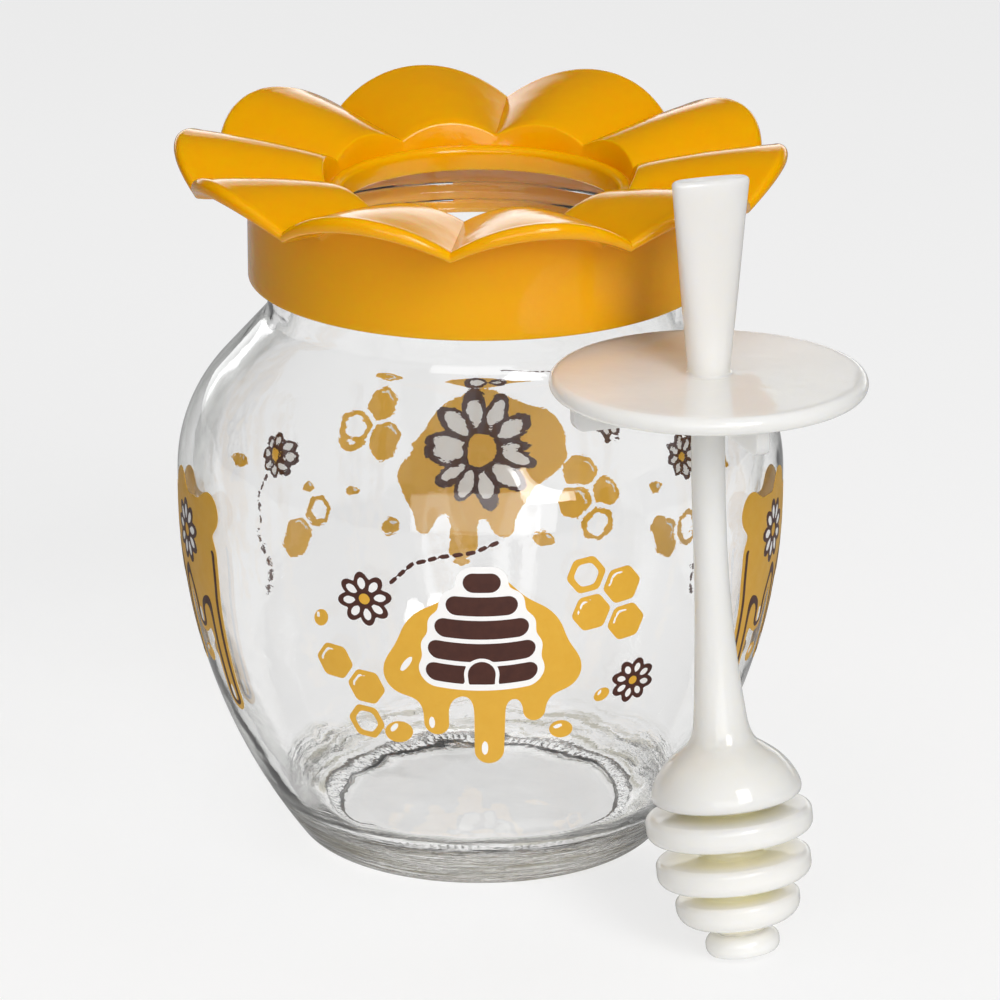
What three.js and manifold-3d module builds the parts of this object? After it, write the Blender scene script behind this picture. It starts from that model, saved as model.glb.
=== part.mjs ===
// An empty glass honey jar with a flower-shaped screw lid, and the honey dipper that leans on it.
// Millimetres, +Z up, the viewer's side is -Y. The jar is shaped on its own axis. At the end the
// whole is shifted, so that the origin is the bottom centre of the box round all three pieces.
import * as THREE from "three";
import { mergeVertices } from "three/addons/utils/BufferGeometryUtils.js";
import Module from "manifold-3d";

const wasm = await Module();
wasm.setup();

// Clearance that is left where two pieces touch.
const GAP = 0.3;

// Glass jar: a round belly of two arcs, a short neck, a thick base with a hollow under it.
const JAR = {
  bellyRadius: 44.9,
  bellyLow: 54,
  bellyHigh: 57,
  lowerArc: 87.8,
  shoulderArc: 23,
  shoulderTurn: 42,
  neckRadius: 31.3,
  neckFillet: 4,
  heelRadius: 4,
  wall: 2.8,
  floorThickness: 6.5,
  floorCrown: 0.7,
  innerHeelRadius: 9,
  footWidth: 3,
  puntHeight: 0.8,
  puntStep: 0.8,
  segments: 40,
};

// Lid: a plain collar, a flat roof with a round hole, and ten arched petals.
// Heights are above the collar's lower edge, angles run from the viewer's side to the right.
const LID = {
  lowerEdge: 86.5,
  collarRadius: 34.1,
  collarWall: 1.8,
  roofUnderside: 9.8,
  holeRadius: 20.2,
  ringRadius: 21.9,
  ringTop: 13.3,
  ringGroove: 12.8,
  petalRoot: 22.9,
  rootSlope: 0.5,
  rootRound: 0.4,
  ringEdge: 0.3,
  ringBevel: 0.8,
  shell: 1.8,
  crown: 0.5,
  lipRound: 0.3,
  petals: 10,
  firstValley: -5.5,
  stepsPerPetal: 8,
  valley: { radius: 42.4, rootTop: 14.5, tipTop: 15.4, lip: 1.6 },
  crest: { radius: 44.9, rootTop: 16.6, tipTop: 20, lip: 2.4 },
};

// Dipper: a ringed head on a bowed stem, a round stopper disc on four fins, a flattened handle.
// Heights are above its tip. A ring's height is that of its top, and the bell's side runs upwards.
const DIPPER = {
  coreRadius: 4.3,
  tip: { radius: 5.3, height: 3.2, flat: 2.6, lowEdge: 1.5, highEdge: 1.4, core: 3.2 },
  rings: [
    { radius: 8.9, top: 8.7, thickness: 3.9, lowEdge: 2.7, highEdge: 0.7 },
    { radius: 11.05, top: 14.6, thickness: 3.8, lowEdge: 1.7, highEdge: 0.9 },
    { radius: 11.9, top: 21.1, thickness: 3.7, lowEdge: 1.5, highEdge: 1 },
  ],
  bellSide: [
    { radius: 9.9, height: 22.8 },
    { radius: 10.6, height: 23.3 },
    { radius: 10.7, height: 24.2 },
    { radius: 10.2, height: 25.6 },
    { radius: 9.3, height: 27.1 },
    { radius: 8, height: 28.6 },
    { radius: 6.4, height: 29.8 },
    { radius: 4.8, height: 31 },
    { radius: 4, height: 33.2 },
  ],
  stemLow: 3.6,
  stemHigh: 2.4,
  stemFoot: 36.5,
  stemWaist: 62,
  discRadius: 22.5,
  discThickness: 2.6,
  discHeight: 83.2,
  finReach: 20.4,
  finDepth: 3.8,
  finThickness: 1.9,
  finCorner: 1.5,
  handleFoot: 3,
  handleFillet: 0.5,
  handleHalfWidth: 5.7,
  handleHalfDepth: 1.7,
  handleEdge: 0.7,
  height: 112.7,
  bowTop: 77,
  bowRight: { reach: 5.7, power: 1.75 },
  bowForward: { reach: 7.6, power: 1.1 },
  mouldTurn: 20,
  leanBack: 0.8,
  discOffset: 32.2,
  segments: 28,
  handleSegments: 20,
};

const rad = THREE.MathUtils.degToRad;
const deg = THREE.MathUtils.radToDeg;
const mix = THREE.MathUtils.lerp;
const at = (radius, height) => new THREE.Vector2(radius, height);
const shares = (count) => Array.from({ length: count + 1 }, (_, i) => i / count);

// Points of an arc in the plane of radius and height, with its angles in degrees.
function arc(centre, radius, from, to, steps) {
  const clockwise = to < from;
  const curve = new THREE.EllipseCurve(
    centre.x, centre.y, radius, radius, rad(from), rad(to), clockwise,
  );
  return curve.getPoints(steps);
}

// One run of points without the points that repeat the one before.
function chain(...points) {
  const smallest = 0.01;
  return points.filter((p, i) => i === 0 || p.distanceTo(points[i - 1]) > smallest);
}

// A profile turned about +Z. Angle 0 faces the viewer.
function turned(profile, segments, start = 0) {
  const geometry = new THREE.LatheGeometry(profile, segments, start, 2 * Math.PI);
  return geometry.rotateX(Math.PI / 2);
}

// The same shape with position as its only attribute and its shared vertices merged.
function welded(geometry) {
  geometry.deleteAttribute("normal");
  geometry.deleteAttribute("uv");
  return mergeVertices(geometry, 1e-3);
}

// Moves each vertex of a shape by a function of its place.
function shaped(geometry, move) {
  const position = geometry.attributes.position;
  const point = new THREE.Vector3();
  for (let i = 0; i < position.count; i++) {
    move(point.fromBufferAttribute(position, i));
    position.setXYZ(i, point.x, point.y, point.z);
  }
  return geometry;
}

// Joins closed shapes into one.
function joined(geometries) {
  const solids = geometries.map((geometry) => {
    const closed = welded(geometry);
    return new wasm.Manifold(
      new wasm.Mesh({
        numProp: 3,
        vertProperties: new Float32Array(closed.attributes.position.array),
        triVerts: new Uint32Array(closed.index.array),
      }),
    );
  });
  const mesh = solids.reduce((whole, piece) => whole.add(piece)).getMesh();
  return new THREE.BufferGeometry()
    .setAttribute("position", new THREE.BufferAttribute(mesh.vertProperties, 3))
    .setIndex(new THREE.BufferAttribute(mesh.triVerts, 1));
}

// The jar's wall from its heel to its neck, set in from the outside by an amount.
function wallProfile(inset, floor, heelRadius) {
  const lowerRadius = JAR.lowerArc - inset;
  const lower = at(JAR.bellyRadius - JAR.lowerArc, JAR.bellyLow);
  const shoulder = at(JAR.bellyRadius - JAR.shoulderArc, JAR.bellyHigh);

  // The heel's circle touches the floor and, from inside, the belly's lower arc.
  const heelHeight = floor + heelRadius;
  const reach = lowerRadius - heelRadius;
  const heel = at(lower.x + Math.sqrt(reach ** 2 - (heelHeight - lower.y) ** 2), heelHeight);
  const meet = deg(Math.atan2(heel.y - lower.y, heel.x - lower.x));

  // The neck's hollow circle touches the neck and the straight slope above the shoulder's arc.
  const turn = rad(JAR.shoulderTurn);
  const neckX = JAR.neckRadius + JAR.neckFillet;
  const across = neckX - shoulder.x;
  const radii = JAR.shoulderArc + JAR.neckFillet;
  const neck = at(neckX, shoulder.y + (radii - across * Math.cos(turn)) / Math.sin(turn));

  return [
    ...arc(heel, heelRadius, -90, meet, 3),
    ...arc(lower, lowerRadius, meet, 0, 6),
    ...arc(shoulder, JAR.shoulderArc - inset, 0, JAR.shoulderTurn, 4),
    ...arc(neck, JAR.neckFillet + inset, 180 + JAR.shoulderTurn, 180, 2),
  ];
}

function glassJar() {
  const outside = wallProfile(0, 0, JAR.heelRadius);
  const inside = wallProfile(JAR.wall, JAR.floorThickness, JAR.innerHeelRadius);
  const foot = outside[0].x;
  const lip = JAR.wall / 2;
  const rim = at(JAR.neckRadius - lip, LID.lowerEdge + LID.roofUnderside - GAP - lip);
  const profile = chain(
    at(0, JAR.puntHeight),
    at(foot - JAR.footWidth - JAR.puntStep, JAR.puntHeight),
    at(foot - JAR.footWidth, 0),
    ...outside,
    ...arc(rim, lip, 0, 180, 4),
    ...inside.reverse(),
    at(0, JAR.floorThickness + JAR.floorCrown),
  );
  return turned(profile, JAR.segments);
}

// The lid's section at one angle: 0 in a valley between petals, 1 on the crest of a petal.
function lidSection(arch) {
  const { valley, crest } = LID;
  const tip = mix(valley.radius, crest.radius, arch);
  const lip = mix(valley.lip, crest.lip, arch);
  const rootTop = mix(valley.rootTop, crest.rootTop, arch);
  const tipTop = mix(valley.tipTop, crest.tipTop, arch);
  const top = (along) => mix(rootTop, tipTop, along) + LID.crown * 4 * along * (1 - along) * arch;
  const petal = (along) => at(mix(LID.petalRoot, tip, along), top(along));

  // Underneath, the shell follows the petal from the collar out to the lip.
  const onCollar = (LID.collarRadius - LID.petalRoot) / (tip - LID.petalRoot);
  const midway = (1 + onCollar) / 2;
  const { x: end, y: lipTop } = petal(1);
  const round = lip * LID.lipRound;
  const inner = LID.collarRadius - LID.collarWall;
  const root = LID.petalRoot - LID.rootSlope;
  return [
    at(LID.collarRadius, 0),
    at(LID.collarRadius, top(onCollar) - LID.shell),
    at(petal(midway).x, top(midway) - LID.shell),
    at(end - round, lipTop - lip),
    at(end, lipTop - lip + round),
    at(end, lipTop - round),
    at(end - round, lipTop),
    petal(0.75),
    petal(0.5),
    petal(0.25),
    at(LID.petalRoot + LID.rootRound, rootTop),
    at(LID.petalRoot, rootTop - LID.rootRound),
    at(root, LID.ringGroove),
    at(LID.ringRadius, LID.ringGroove),
    at(LID.ringRadius - LID.ringEdge, LID.ringTop),
    at(LID.holeRadius + LID.ringBevel, LID.ringTop),
    at(LID.holeRadius, LID.ringTop - LID.ringBevel),
    at(LID.holeRadius, LID.roofUnderside),
    at(inner, LID.roofUnderside),
    at(inner, 0),
    at(LID.collarRadius, 0),
  ];
}

function flowerLid() {
  const steps = LID.stepsPerPetal;
  const start = rad(LID.firstValley);
  const geometry = turned(lidSection(0), LID.petals * steps, start);
  const position = geometry.attributes.position;
  const count = lidSection(0).length;
  for (let turn = 0; turn <= LID.petals * steps; turn++) {
    const across = (2 * (turn % steps)) / steps - 1;
    const angle = start + (2 * Math.PI * turn) / (LID.petals * steps);
    lidSection(1 - across ** 2).forEach((p, i) => {
      position.setXYZ(turn * count + i, p.x * Math.sin(angle), -p.x * Math.cos(angle), p.y);
    });
  }
  return geometry;
}

// A flat disc with rounded edges on the core, as a run of its profile from below to above.
function ringProfile({ radius, top, thickness, lowEdge, highEdge }, core) {
  const low = top - thickness;
  return [
    at(core, low),
    ...arc(at(radius - lowEdge, low + lowEdge), lowEdge, -90, 0, 2),
    ...arc(at(radius - highEdge, top - highEdge), highEdge, 0, 90, 2),
    at(core, top),
  ];
}

// Head, bell, stem and disc, up to the middle of the disc's top.
function stemProfile() {
  const { tip, coreRadius, bellSide, discThickness } = DIPPER;
  const discEdge = discThickness / 2;
  const disc = {
    radius: DIPPER.discRadius,
    top: DIPPER.discHeight + discEdge,
    thickness: discThickness,
    lowEdge: discEdge,
    highEdge: discEdge,
  };
  // The stem narrows along a parabola.
  const narrowing = shares(3).map((t) => {
    const radius = mix(DIPPER.stemHigh, DIPPER.stemLow, (1 - t) ** 2);
    return at(radius, mix(DIPPER.stemFoot, DIPPER.stemWaist, t));
  });
  return chain(
    at(0, 0),
    at(tip.flat, 0),
    ...arc(at(tip.radius - tip.lowEdge, tip.lowEdge), tip.lowEdge, -50, 0, 2),
    ...arc(at(tip.radius - tip.highEdge, tip.height - tip.highEdge), tip.highEdge, 0, 90, 2),
    at(tip.core, tip.height),
    ...DIPPER.rings.flatMap((ring) => ringProfile(ring, coreRadius)),
    at(coreRadius, bellSide[0].height),
    ...bellSide.map(({ radius, height }) => at(radius, height)),
    ...narrowing,
    ...ringProfile(disc, DIPPER.stemHigh).slice(0, -1),
    at(0, disc.top),
  );
}

// The handle: round at its foot, wide and shallow at its flat top.
function dipperHandle() {
  const foot = DIPPER.discHeight;
  const above = foot + DIPPER.discThickness / 2;
  const { handleFoot, handleFillet, handleHalfWidth, handleEdge, height } = DIPPER;
  const profile = chain(
    at(0, foot),
    at(handleFoot + handleFillet, foot),
    at(handleFoot + handleFillet, above),
    ...arc(at(handleFoot + handleFillet, above + handleFillet), handleFillet, 270, 180, 1),
    ...arc(at(handleHalfWidth - handleEdge, height - handleEdge), handleEdge, 0, 90, 3),
    at(0, height),
  );
  const flatness = 1 - DIPPER.handleHalfDepth / handleHalfWidth;
  return shaped(turned(profile, DIPPER.handleSegments), (p) => {
    p.y *= 1 - flatness * THREE.MathUtils.smoothstep(p.z, above, height);
  });
}

// One fin plate, which runs right through the stem under the disc.
function finPlate(turn) {
  const { finReach, finDepth, finCorner, finThickness } = DIPPER;
  const top = DIPPER.discHeight;
  const low = top - DIPPER.discThickness / 2 - finDepth;
  const outline = new THREE.Shape()
    .moveTo(-finReach, top)
    .lineTo(-finReach, low + finCorner)
    .absarc(-finReach + finCorner, low + finCorner, finCorner, Math.PI, 1.5 * Math.PI)
    .absarc(finReach - finCorner, low + finCorner, finCorner, 1.5 * Math.PI, 2 * Math.PI)
    .lineTo(finReach, top);
  const plate = new THREE.ExtrudeGeometry(outline, {
    depth: finThickness,
    bevelEnabled: false,
    curveSegments: 2,
  });
  return plate
    .translate(0, 0, -finThickness / 2)
    .rotateX(Math.PI / 2)
    .rotateZ(turn);
}

function honeyDipper() {
  const body = joined([
    turned(stemProfile(), DIPPER.segments),
    dipperHandle(),
    finPlate(0),
    finPlate(Math.PI / 2),
  ]);
  body.rotateZ(rad(DIPPER.mouldTurn));
  // Below the fins the stem bows away from the jar, more and more towards the tip. Each
  // cross-section stays square to the bowed stem.
  const { bowTop, bowRight, bowForward } = DIPPER;
  return shaped(body, (p) => {
    const below = Math.max(0, 1 - p.z / bowTop);
    const shift = ({ reach, power }) => reach * below ** power;
    const slope = ({ reach, power }) => ((reach * power) / bowTop) * below ** (power - 1);
    p.z += slope(bowRight) * p.x - slope(bowForward) * p.y;
    p.x += shift(bowRight);
    p.y -= shift(bowForward);
  });
}

function piece(name, geometry, look) {
  const mesh = new THREE.Mesh(geometry, new THREE.MeshStandardMaterial(look));
  mesh.name = name;
  return mesh;
}

const jar = piece("glass_jar", glassJar(), {
  color: "#e8f1ee",
  roughness: 0.05,
  metalness: 0,
  transparent: true,
  opacity: 0.35,
});

const lid = piece("flower_lid", flowerLid(), {
  color: "#e89b0c",
  roughness: 0.3,
  metalness: 0,
});
lid.position.z = LID.lowerEdge;

// The dipper stands on its tip and leans back, with the rim of its disc against the jar's neck,
// just under the lid's collar.
const dipper = piece("dipper", honeyDipper(), {
  color: "#f5f2e9",
  roughness: 0.35,
  metalness: 0,
});
const lean = rad(DIPPER.leanBack);
const apart = JAR.neckRadius + DIPPER.discRadius + GAP;
const discFront = Math.sqrt(apart ** 2 - DIPPER.discOffset ** 2);
dipper.rotation.x = -lean;
dipper.position.set(DIPPER.discOffset, -discFront - DIPPER.discHeight * Math.sin(lean), 0);
dipper.position.z = -new THREE.Box3().setFromObject(dipper, true).min.z;

const standing = new THREE.Group().add(jar, lid, dipper);
const box = new THREE.Box3().setFromObject(standing, true);
const middle = box.getCenter(new THREE.Vector3());
standing.position.set(-middle.x, -middle.y, -box.min.z);

const honeyJar = new THREE.Group().add(standing);

export default honeyJar;
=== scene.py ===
"""Looks of an empty glass honey jar with a flower lid, and of the honey dipper that leans on it.

Sizes in the classes are millimetres and angles are degrees. Meshes are in metres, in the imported
model's frame: +Z is up, the viewer's side is -Y and the viewer's right is +X. An azimuth is
measured round the jar from the viewer's side to the right.
"""

import logging
import math
from dataclasses import astuple, dataclass
from enum import Enum
from typing import Iterable, Optional, Sequence, Union

import bmesh
import bpy
import numpy as np
from mathutils import Matrix, Vector


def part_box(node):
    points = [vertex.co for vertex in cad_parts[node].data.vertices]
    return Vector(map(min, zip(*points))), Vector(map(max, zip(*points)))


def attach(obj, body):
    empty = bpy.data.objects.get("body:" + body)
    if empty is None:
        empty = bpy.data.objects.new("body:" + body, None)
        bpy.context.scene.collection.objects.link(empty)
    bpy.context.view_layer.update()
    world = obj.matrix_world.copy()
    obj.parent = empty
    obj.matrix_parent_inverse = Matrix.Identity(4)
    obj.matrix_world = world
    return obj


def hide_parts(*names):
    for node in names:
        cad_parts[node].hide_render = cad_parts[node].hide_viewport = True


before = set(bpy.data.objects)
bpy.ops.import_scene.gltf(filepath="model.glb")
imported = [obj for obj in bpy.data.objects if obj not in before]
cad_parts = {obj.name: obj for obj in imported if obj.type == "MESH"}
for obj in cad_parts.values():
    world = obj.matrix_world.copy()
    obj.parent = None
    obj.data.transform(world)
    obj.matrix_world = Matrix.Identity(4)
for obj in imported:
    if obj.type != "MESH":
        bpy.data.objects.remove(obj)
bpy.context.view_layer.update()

LOG = logging.getLogger("honey_jar")
MM = 0.001
WELD = 1e-7
FLAT = 0.01
FAR = 1e3
OVAL = 2.0
FULL = True
BARE = False

Pair = tuple[float, float]
Colour = tuple[float, float, float]
Value = Union[float, Sequence[float], bpy.types.NodeSocket]


class Slot(Enum):
    """Material slots of the record."""

    GLASS = "clear_glass"
    LID = "amber_plastic"
    DIPPER = "white_plastic"
    AMBER_INK = "amber_print"
    BROWN_INK = "brown_print"
    WHITE_INK = "white_print"


class Ink(Enum):
    """Inks of the print, with the height of each film over the glass."""

    AMBER = 0.04
    WHITE = 0.06
    BROWN = 0.08


def arc(centre: Pair, radius: float, start: float, end: float, steps: int) -> np.ndarray:
    """Points of an arc in the plane of radius and height.

    Args:
        centre: Radius and height of the arc's centre.
        radius: The arc's own radius.
        start: First angle, from straight outwards.
        end: Last angle.
        steps: Number of chords.

    Returns:
        One row of radius and height for each point.
    """
    angles = np.radians(np.linspace(start, end, steps + 1))
    return np.column_stack((
        centre[0] + radius * np.cos(angles),
        centre[1] + radius * np.sin(angles),
    ))


def straight(start: Pair, end: Pair, steps: int) -> np.ndarray:
    """Points of a straight run from start to end."""
    return np.linspace(start, end, steps + 1)


def spline(knots: Sequence[Pair], steps: int) -> np.ndarray:
    """Points of a smooth curve through knots.

    Args:
        knots: Radius and height of each knot.
        steps: Number of chords between two knots.

    Returns:
        One row of radius and height for each point.
    """
    inner = np.array(knots, float)
    ends = np.vstack((2 * inner[0] - inner[1], inner, 2 * inner[-1] - inner[-2]))
    share = np.linspace(0, 1, steps, endpoint=False)[:, None]
    runs = [
        b + 0.5 * share * (c - a + share * (2 * a - 5 * b + 4 * c - d
                                            + share * (3 * b - a - 3 * c + d)))
        for a, b, c, d in zip(ends, ends[1:], ends[2:], ends[3:])
    ]
    return np.vstack((*runs, inner[-1:]))


def chain(*runs: Union[np.ndarray, Pair]) -> np.ndarray:
    """One run of points, without a point that repeats the one before.

    Args:
        runs: Runs of points, or single points, in order.

    Returns:
        One row of radius and height for each point.
    """
    points = np.vstack([np.atleast_2d(run) for run in runs])
    steps = np.linalg.norm(np.diff(points, axis=0), axis=1)
    return points[np.concatenate(([True], steps > 1e-4))]


def blend(low: Union[float, np.ndarray], high: Union[float, np.ndarray],
          share: Union[float, np.ndarray]) -> Union[float, np.ndarray]:
    """Value at a share of the way from low to high."""
    return low + (high - low) * share


def smooth(value: np.ndarray, low: float, high: float) -> np.ndarray:
    """Soft step that is 0 up to low and 1 from high."""
    share = np.clip((value - low) / (high - low), 0.0, 1.0)
    return share * share * (3.0 - 2.0 * share)


def skin(grid: np.ndarray, loop: bool) -> tuple[np.ndarray, np.ndarray]:
    """Joins a grid of points that runs round an axis into one surface.

    Args:
        grid: Points by turn and by row.
        loop: Whether each turn's last row joins its first.

    Returns:
        The points, and four point numbers for each face.
    """
    turns, rows, _ = grid.shape
    order = np.arange(turns * rows).reshape(turns, rows)
    if loop:
        order = np.column_stack((order, order[:, :1]))
    beside = np.roll(order, -1, axis=0)
    faces = np.stack((order[:, :-1], beside[:, :-1], beside[:, 1:], order[:, 1:]), axis=-1)
    return grid.reshape(-1, 3), faces.reshape(-1, 4)


def make_mesh(name: str, points: np.ndarray, faces: Iterable[Sequence[int]],
              masks: Optional[dict[str, np.ndarray]] = None) -> bpy.types.Mesh:
    """Makes a closed mesh with its normals outwards.

    Args:
        name: The mesh's name.
        points: Points in millimetres.
        faces: Point numbers of each face.
        masks: Named values for each point, for the finish to read.

    Returns:
        The new mesh.
    """
    mesh = bpy.data.meshes.new(name)
    mesh.from_pydata((points * MM).tolist(), [], [list(map(int, face)) for face in faces])
    for mask, values in (masks or {}).items():
        attribute = mesh.attributes.new(mask, "FLOAT", "POINT")
        attribute.data.foreach_set("value", np.asarray(values, np.float32))
    shape = bmesh.new()
    shape.from_mesh(mesh)
    bmesh.ops.remove_doubles(shape, verts=shape.verts, dist=WELD)
    bmesh.ops.recalc_face_normals(shape, faces=shape.faces)
    shape.to_mesh(mesh)
    shape.free()
    return mesh


def make_piece(name: str, mesh: bpy.types.Mesh, crease: float) -> bpy.types.Object:
    """Adds a smooth-shaded object to the scene.

    Args:
        name: The piece's name.
        mesh: Its mesh.
        crease: Angle from which an edge shows as sharp.

    Returns:
        The new object.
    """
    mesh.shade_smooth()
    mesh.set_sharp_from_angle(angle=math.radians(crease))
    piece = bpy.data.objects.new(name, mesh)
    bpy.context.scene.collection.objects.link(piece)
    return piece


def dress(piece: bpy.types.Object, material: bpy.types.Material, slot: Slot,
          node: Optional[str] = None) -> bpy.types.Object:
    """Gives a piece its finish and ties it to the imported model.

    Args:
        piece: The piece.
        material: Its finish.
        slot: The record's slot for that finish.
        node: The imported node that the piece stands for, if any.

    Returns:
        The same piece.
    """
    piece.data.materials.append(material)
    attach(piece, "root")
    if node:
        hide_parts(node)
    LOG.info("%s: %d faces, %s", piece.name, len(piece.data.polygons), slot.value)
    return piece


class NodeBench:
    """Adds nodes to one shader tree."""

    def __init__(self, tree: bpy.types.NodeTree) -> None:
        """Keeps the tree to work on."""
        self.tree = tree

    def add(self, kind: str, inputs: Optional[dict[Union[str, int], Value]] = None,
            **settings: object) -> bpy.types.Node:
        """Adds a node.

        Args:
            kind: The node's type.
            inputs: A value or a socket to link, for each input by name or number.
            settings: The node's own properties.

        Returns:
            The new node.
        """
        node = self.tree.nodes.new(kind)
        for key, setting in settings.items():
            setattr(node, key, setting)
        for key, value in (inputs or {}).items():
            if isinstance(value, bpy.types.NodeSocket):
                self.tree.links.new(value, node.inputs[key])
            else:
                node.inputs[key].default_value = value
        return node

    def maths(self, operation: str, *values: Value) -> bpy.types.NodeSocket:
        """Adds a Math node and gives its result."""
        node = self.add("ShaderNodeMath", dict(enumerate(values)), operation=operation)
        return node.outputs[0]

    def ranged(self, value: Value, low: Value, high: Value, to_low: Value,
               to_high: Value) -> bpy.types.NodeSocket:
        """Maps a value from one range to another, and clamps it there."""
        inputs = dict(enumerate((value, low, high, to_low, to_high)))
        return self.add("ShaderNodeMapRange", inputs).outputs[0]

    def mixed(self, share: Value, first: Value, second: Value) -> bpy.types.NodeSocket:
        """Mixes two colours."""
        inputs = {0: share, 6: first, 7: second}
        return self.add("ShaderNodeMix", inputs, data_type="RGBA").outputs[2]

    def effect(self, group: bpy.types.NodeTree,
               inputs: dict[str, Value]) -> bpy.types.NodeSocket:
        """Places a shared effect and gives its one output."""
        return self.add("ShaderNodeGroup", inputs, node_tree=group).outputs[0]


def opaque(colour: Colour) -> tuple[float, float, float, float]:
    """A colour with its alpha."""
    return (*colour, 1.0)


class SharedEffects:
    """Shader groups that several finishes use, each built once."""

    def __init__(self) -> None:
        """Builds the groups."""
        self.drift = self._drift()
        self.waver = self._waver()
        self.haze = self._haze()

    @staticmethod
    def _group(name: str, inputs: dict[str, tuple[str, Value]],
               output: tuple[str, str]) -> tuple[NodeBench, bpy.types.Node, bpy.types.Node]:
        """Starts a group.

        Args:
            name: The group's name.
            inputs: Socket type and first value of each input.
            output: Name and socket type of the output.

        Returns:
            The bench on the group's tree, its input node and its output node.
        """
        tree = bpy.data.node_groups.new(name, "ShaderNodeTree")
        for label, (kind, value) in inputs.items():
            socket = tree.interface.new_socket(label, in_out="INPUT", socket_type=kind)
            socket.default_value = value
        tree.interface.new_socket(output[0], in_out="OUTPUT", socket_type=output[1])
        bench = NodeBench(tree)
        return bench, bench.add("NodeGroupInput"), bench.add("NodeGroupOutput")

    def _drift(self) -> bpy.types.NodeTree:
        """Cloudy change from one colour to a deeper one.

        Returns:
            The group.
        """
        bench, given, result = self._group("colour_drift", {
            "Colour": ("NodeSocketColor", (1, 1, 1, 1)),
            "Deep": ("NodeSocketColor", (0.8, 0.8, 0.8, 1)),
            "Scale": ("NodeSocketFloat", 60.0),
            "Share": ("NodeSocketFloat", 0.5),
        }, ("Colour", "NodeSocketColor"))
        place = bench.add("ShaderNodeTexCoord").outputs["Object"]
        cloud = bench.add("ShaderNodeTexNoise", {
            "Vector": place, "Scale": given.outputs["Scale"], "Detail": 4.0, "Roughness": 0.6,
        }).outputs[0]
        share = bench.ranged(cloud, 0.3, 0.7, 0.0, given.outputs["Share"])
        colour = bench.mixed(share, given.outputs["Colour"], given.outputs["Deep"])
        bench.tree.links.new(colour, result.inputs[0])
        return bench.tree

    def _waver(self) -> bpy.types.NodeTree:
        """Uneven height of a moulded surface, with a finer grain on it.

        Returns:
            The group.
        """
        bench, given, result = self._group("mould_waver", {
            "Scale": ("NodeSocketFloat", 90.0),
            "Stretch": ("NodeSocketVector", (1.0, 1.0, 1.0)),
            "Grain": ("NodeSocketFloat", 900.0),
            "Grain Share": ("NodeSocketFloat", 0.1),
        }, ("Height", "NodeSocketFloat"))
        place = bench.add("ShaderNodeTexCoord").outputs["Object"]
        drawn = bench.add("ShaderNodeVectorMath", {0: place, 1: given.outputs["Stretch"]},
                          operation="MULTIPLY").outputs[0]
        broad = bench.add("ShaderNodeTexNoise", {
            "Vector": drawn, "Scale": given.outputs["Scale"], "Detail": 2.0,
        }).outputs[0]
        fine = bench.add("ShaderNodeTexNoise", {
            "Vector": drawn, "Scale": given.outputs["Grain"], "Detail": 3.0,
        }).outputs[0]
        grain = bench.maths("MULTIPLY", fine, given.outputs["Grain Share"])
        bench.tree.links.new(bench.maths("ADD", broad, grain), result.inputs[0])
        return bench.tree

    def _haze(self) -> bpy.types.NodeTree:
        """Roughness that changes where a surface was handled.

        Returns:
            The group.
        """
        bench, given, result = self._group("handling_haze", {
            "Scale": ("NodeSocketFloat", 120.0),
            "Low": ("NodeSocketFloat", 0.2),
            "High": ("NodeSocketFloat", 0.3),
        }, ("Roughness", "NodeSocketFloat"))
        place = bench.add("ShaderNodeTexCoord").outputs["Object"]
        cloud = bench.add("ShaderNodeTexNoise", {
            "Vector": place, "Scale": given.outputs["Scale"], "Detail": 6.0, "Roughness": 0.7,
        }).outputs[0]
        value = bench.ranged(cloud, 0.35, 0.65, given.outputs["Low"], given.outputs["High"])
        bench.tree.links.new(value, result.inputs[0])
        return bench.tree


def new_material(name: str) -> tuple[bpy.types.Material, NodeBench, bpy.types.Node]:
    """Starts a node material.

    Args:
        name: The material's name.

    Returns:
        The material, the bench on its tree and its output node.
    """
    material = bpy.data.materials.new(name)
    material.use_nodes = True
    material.node_tree.nodes.clear()
    bench = NodeBench(material.node_tree)
    return material, bench, bench.add("ShaderNodeOutputMaterial")


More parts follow.
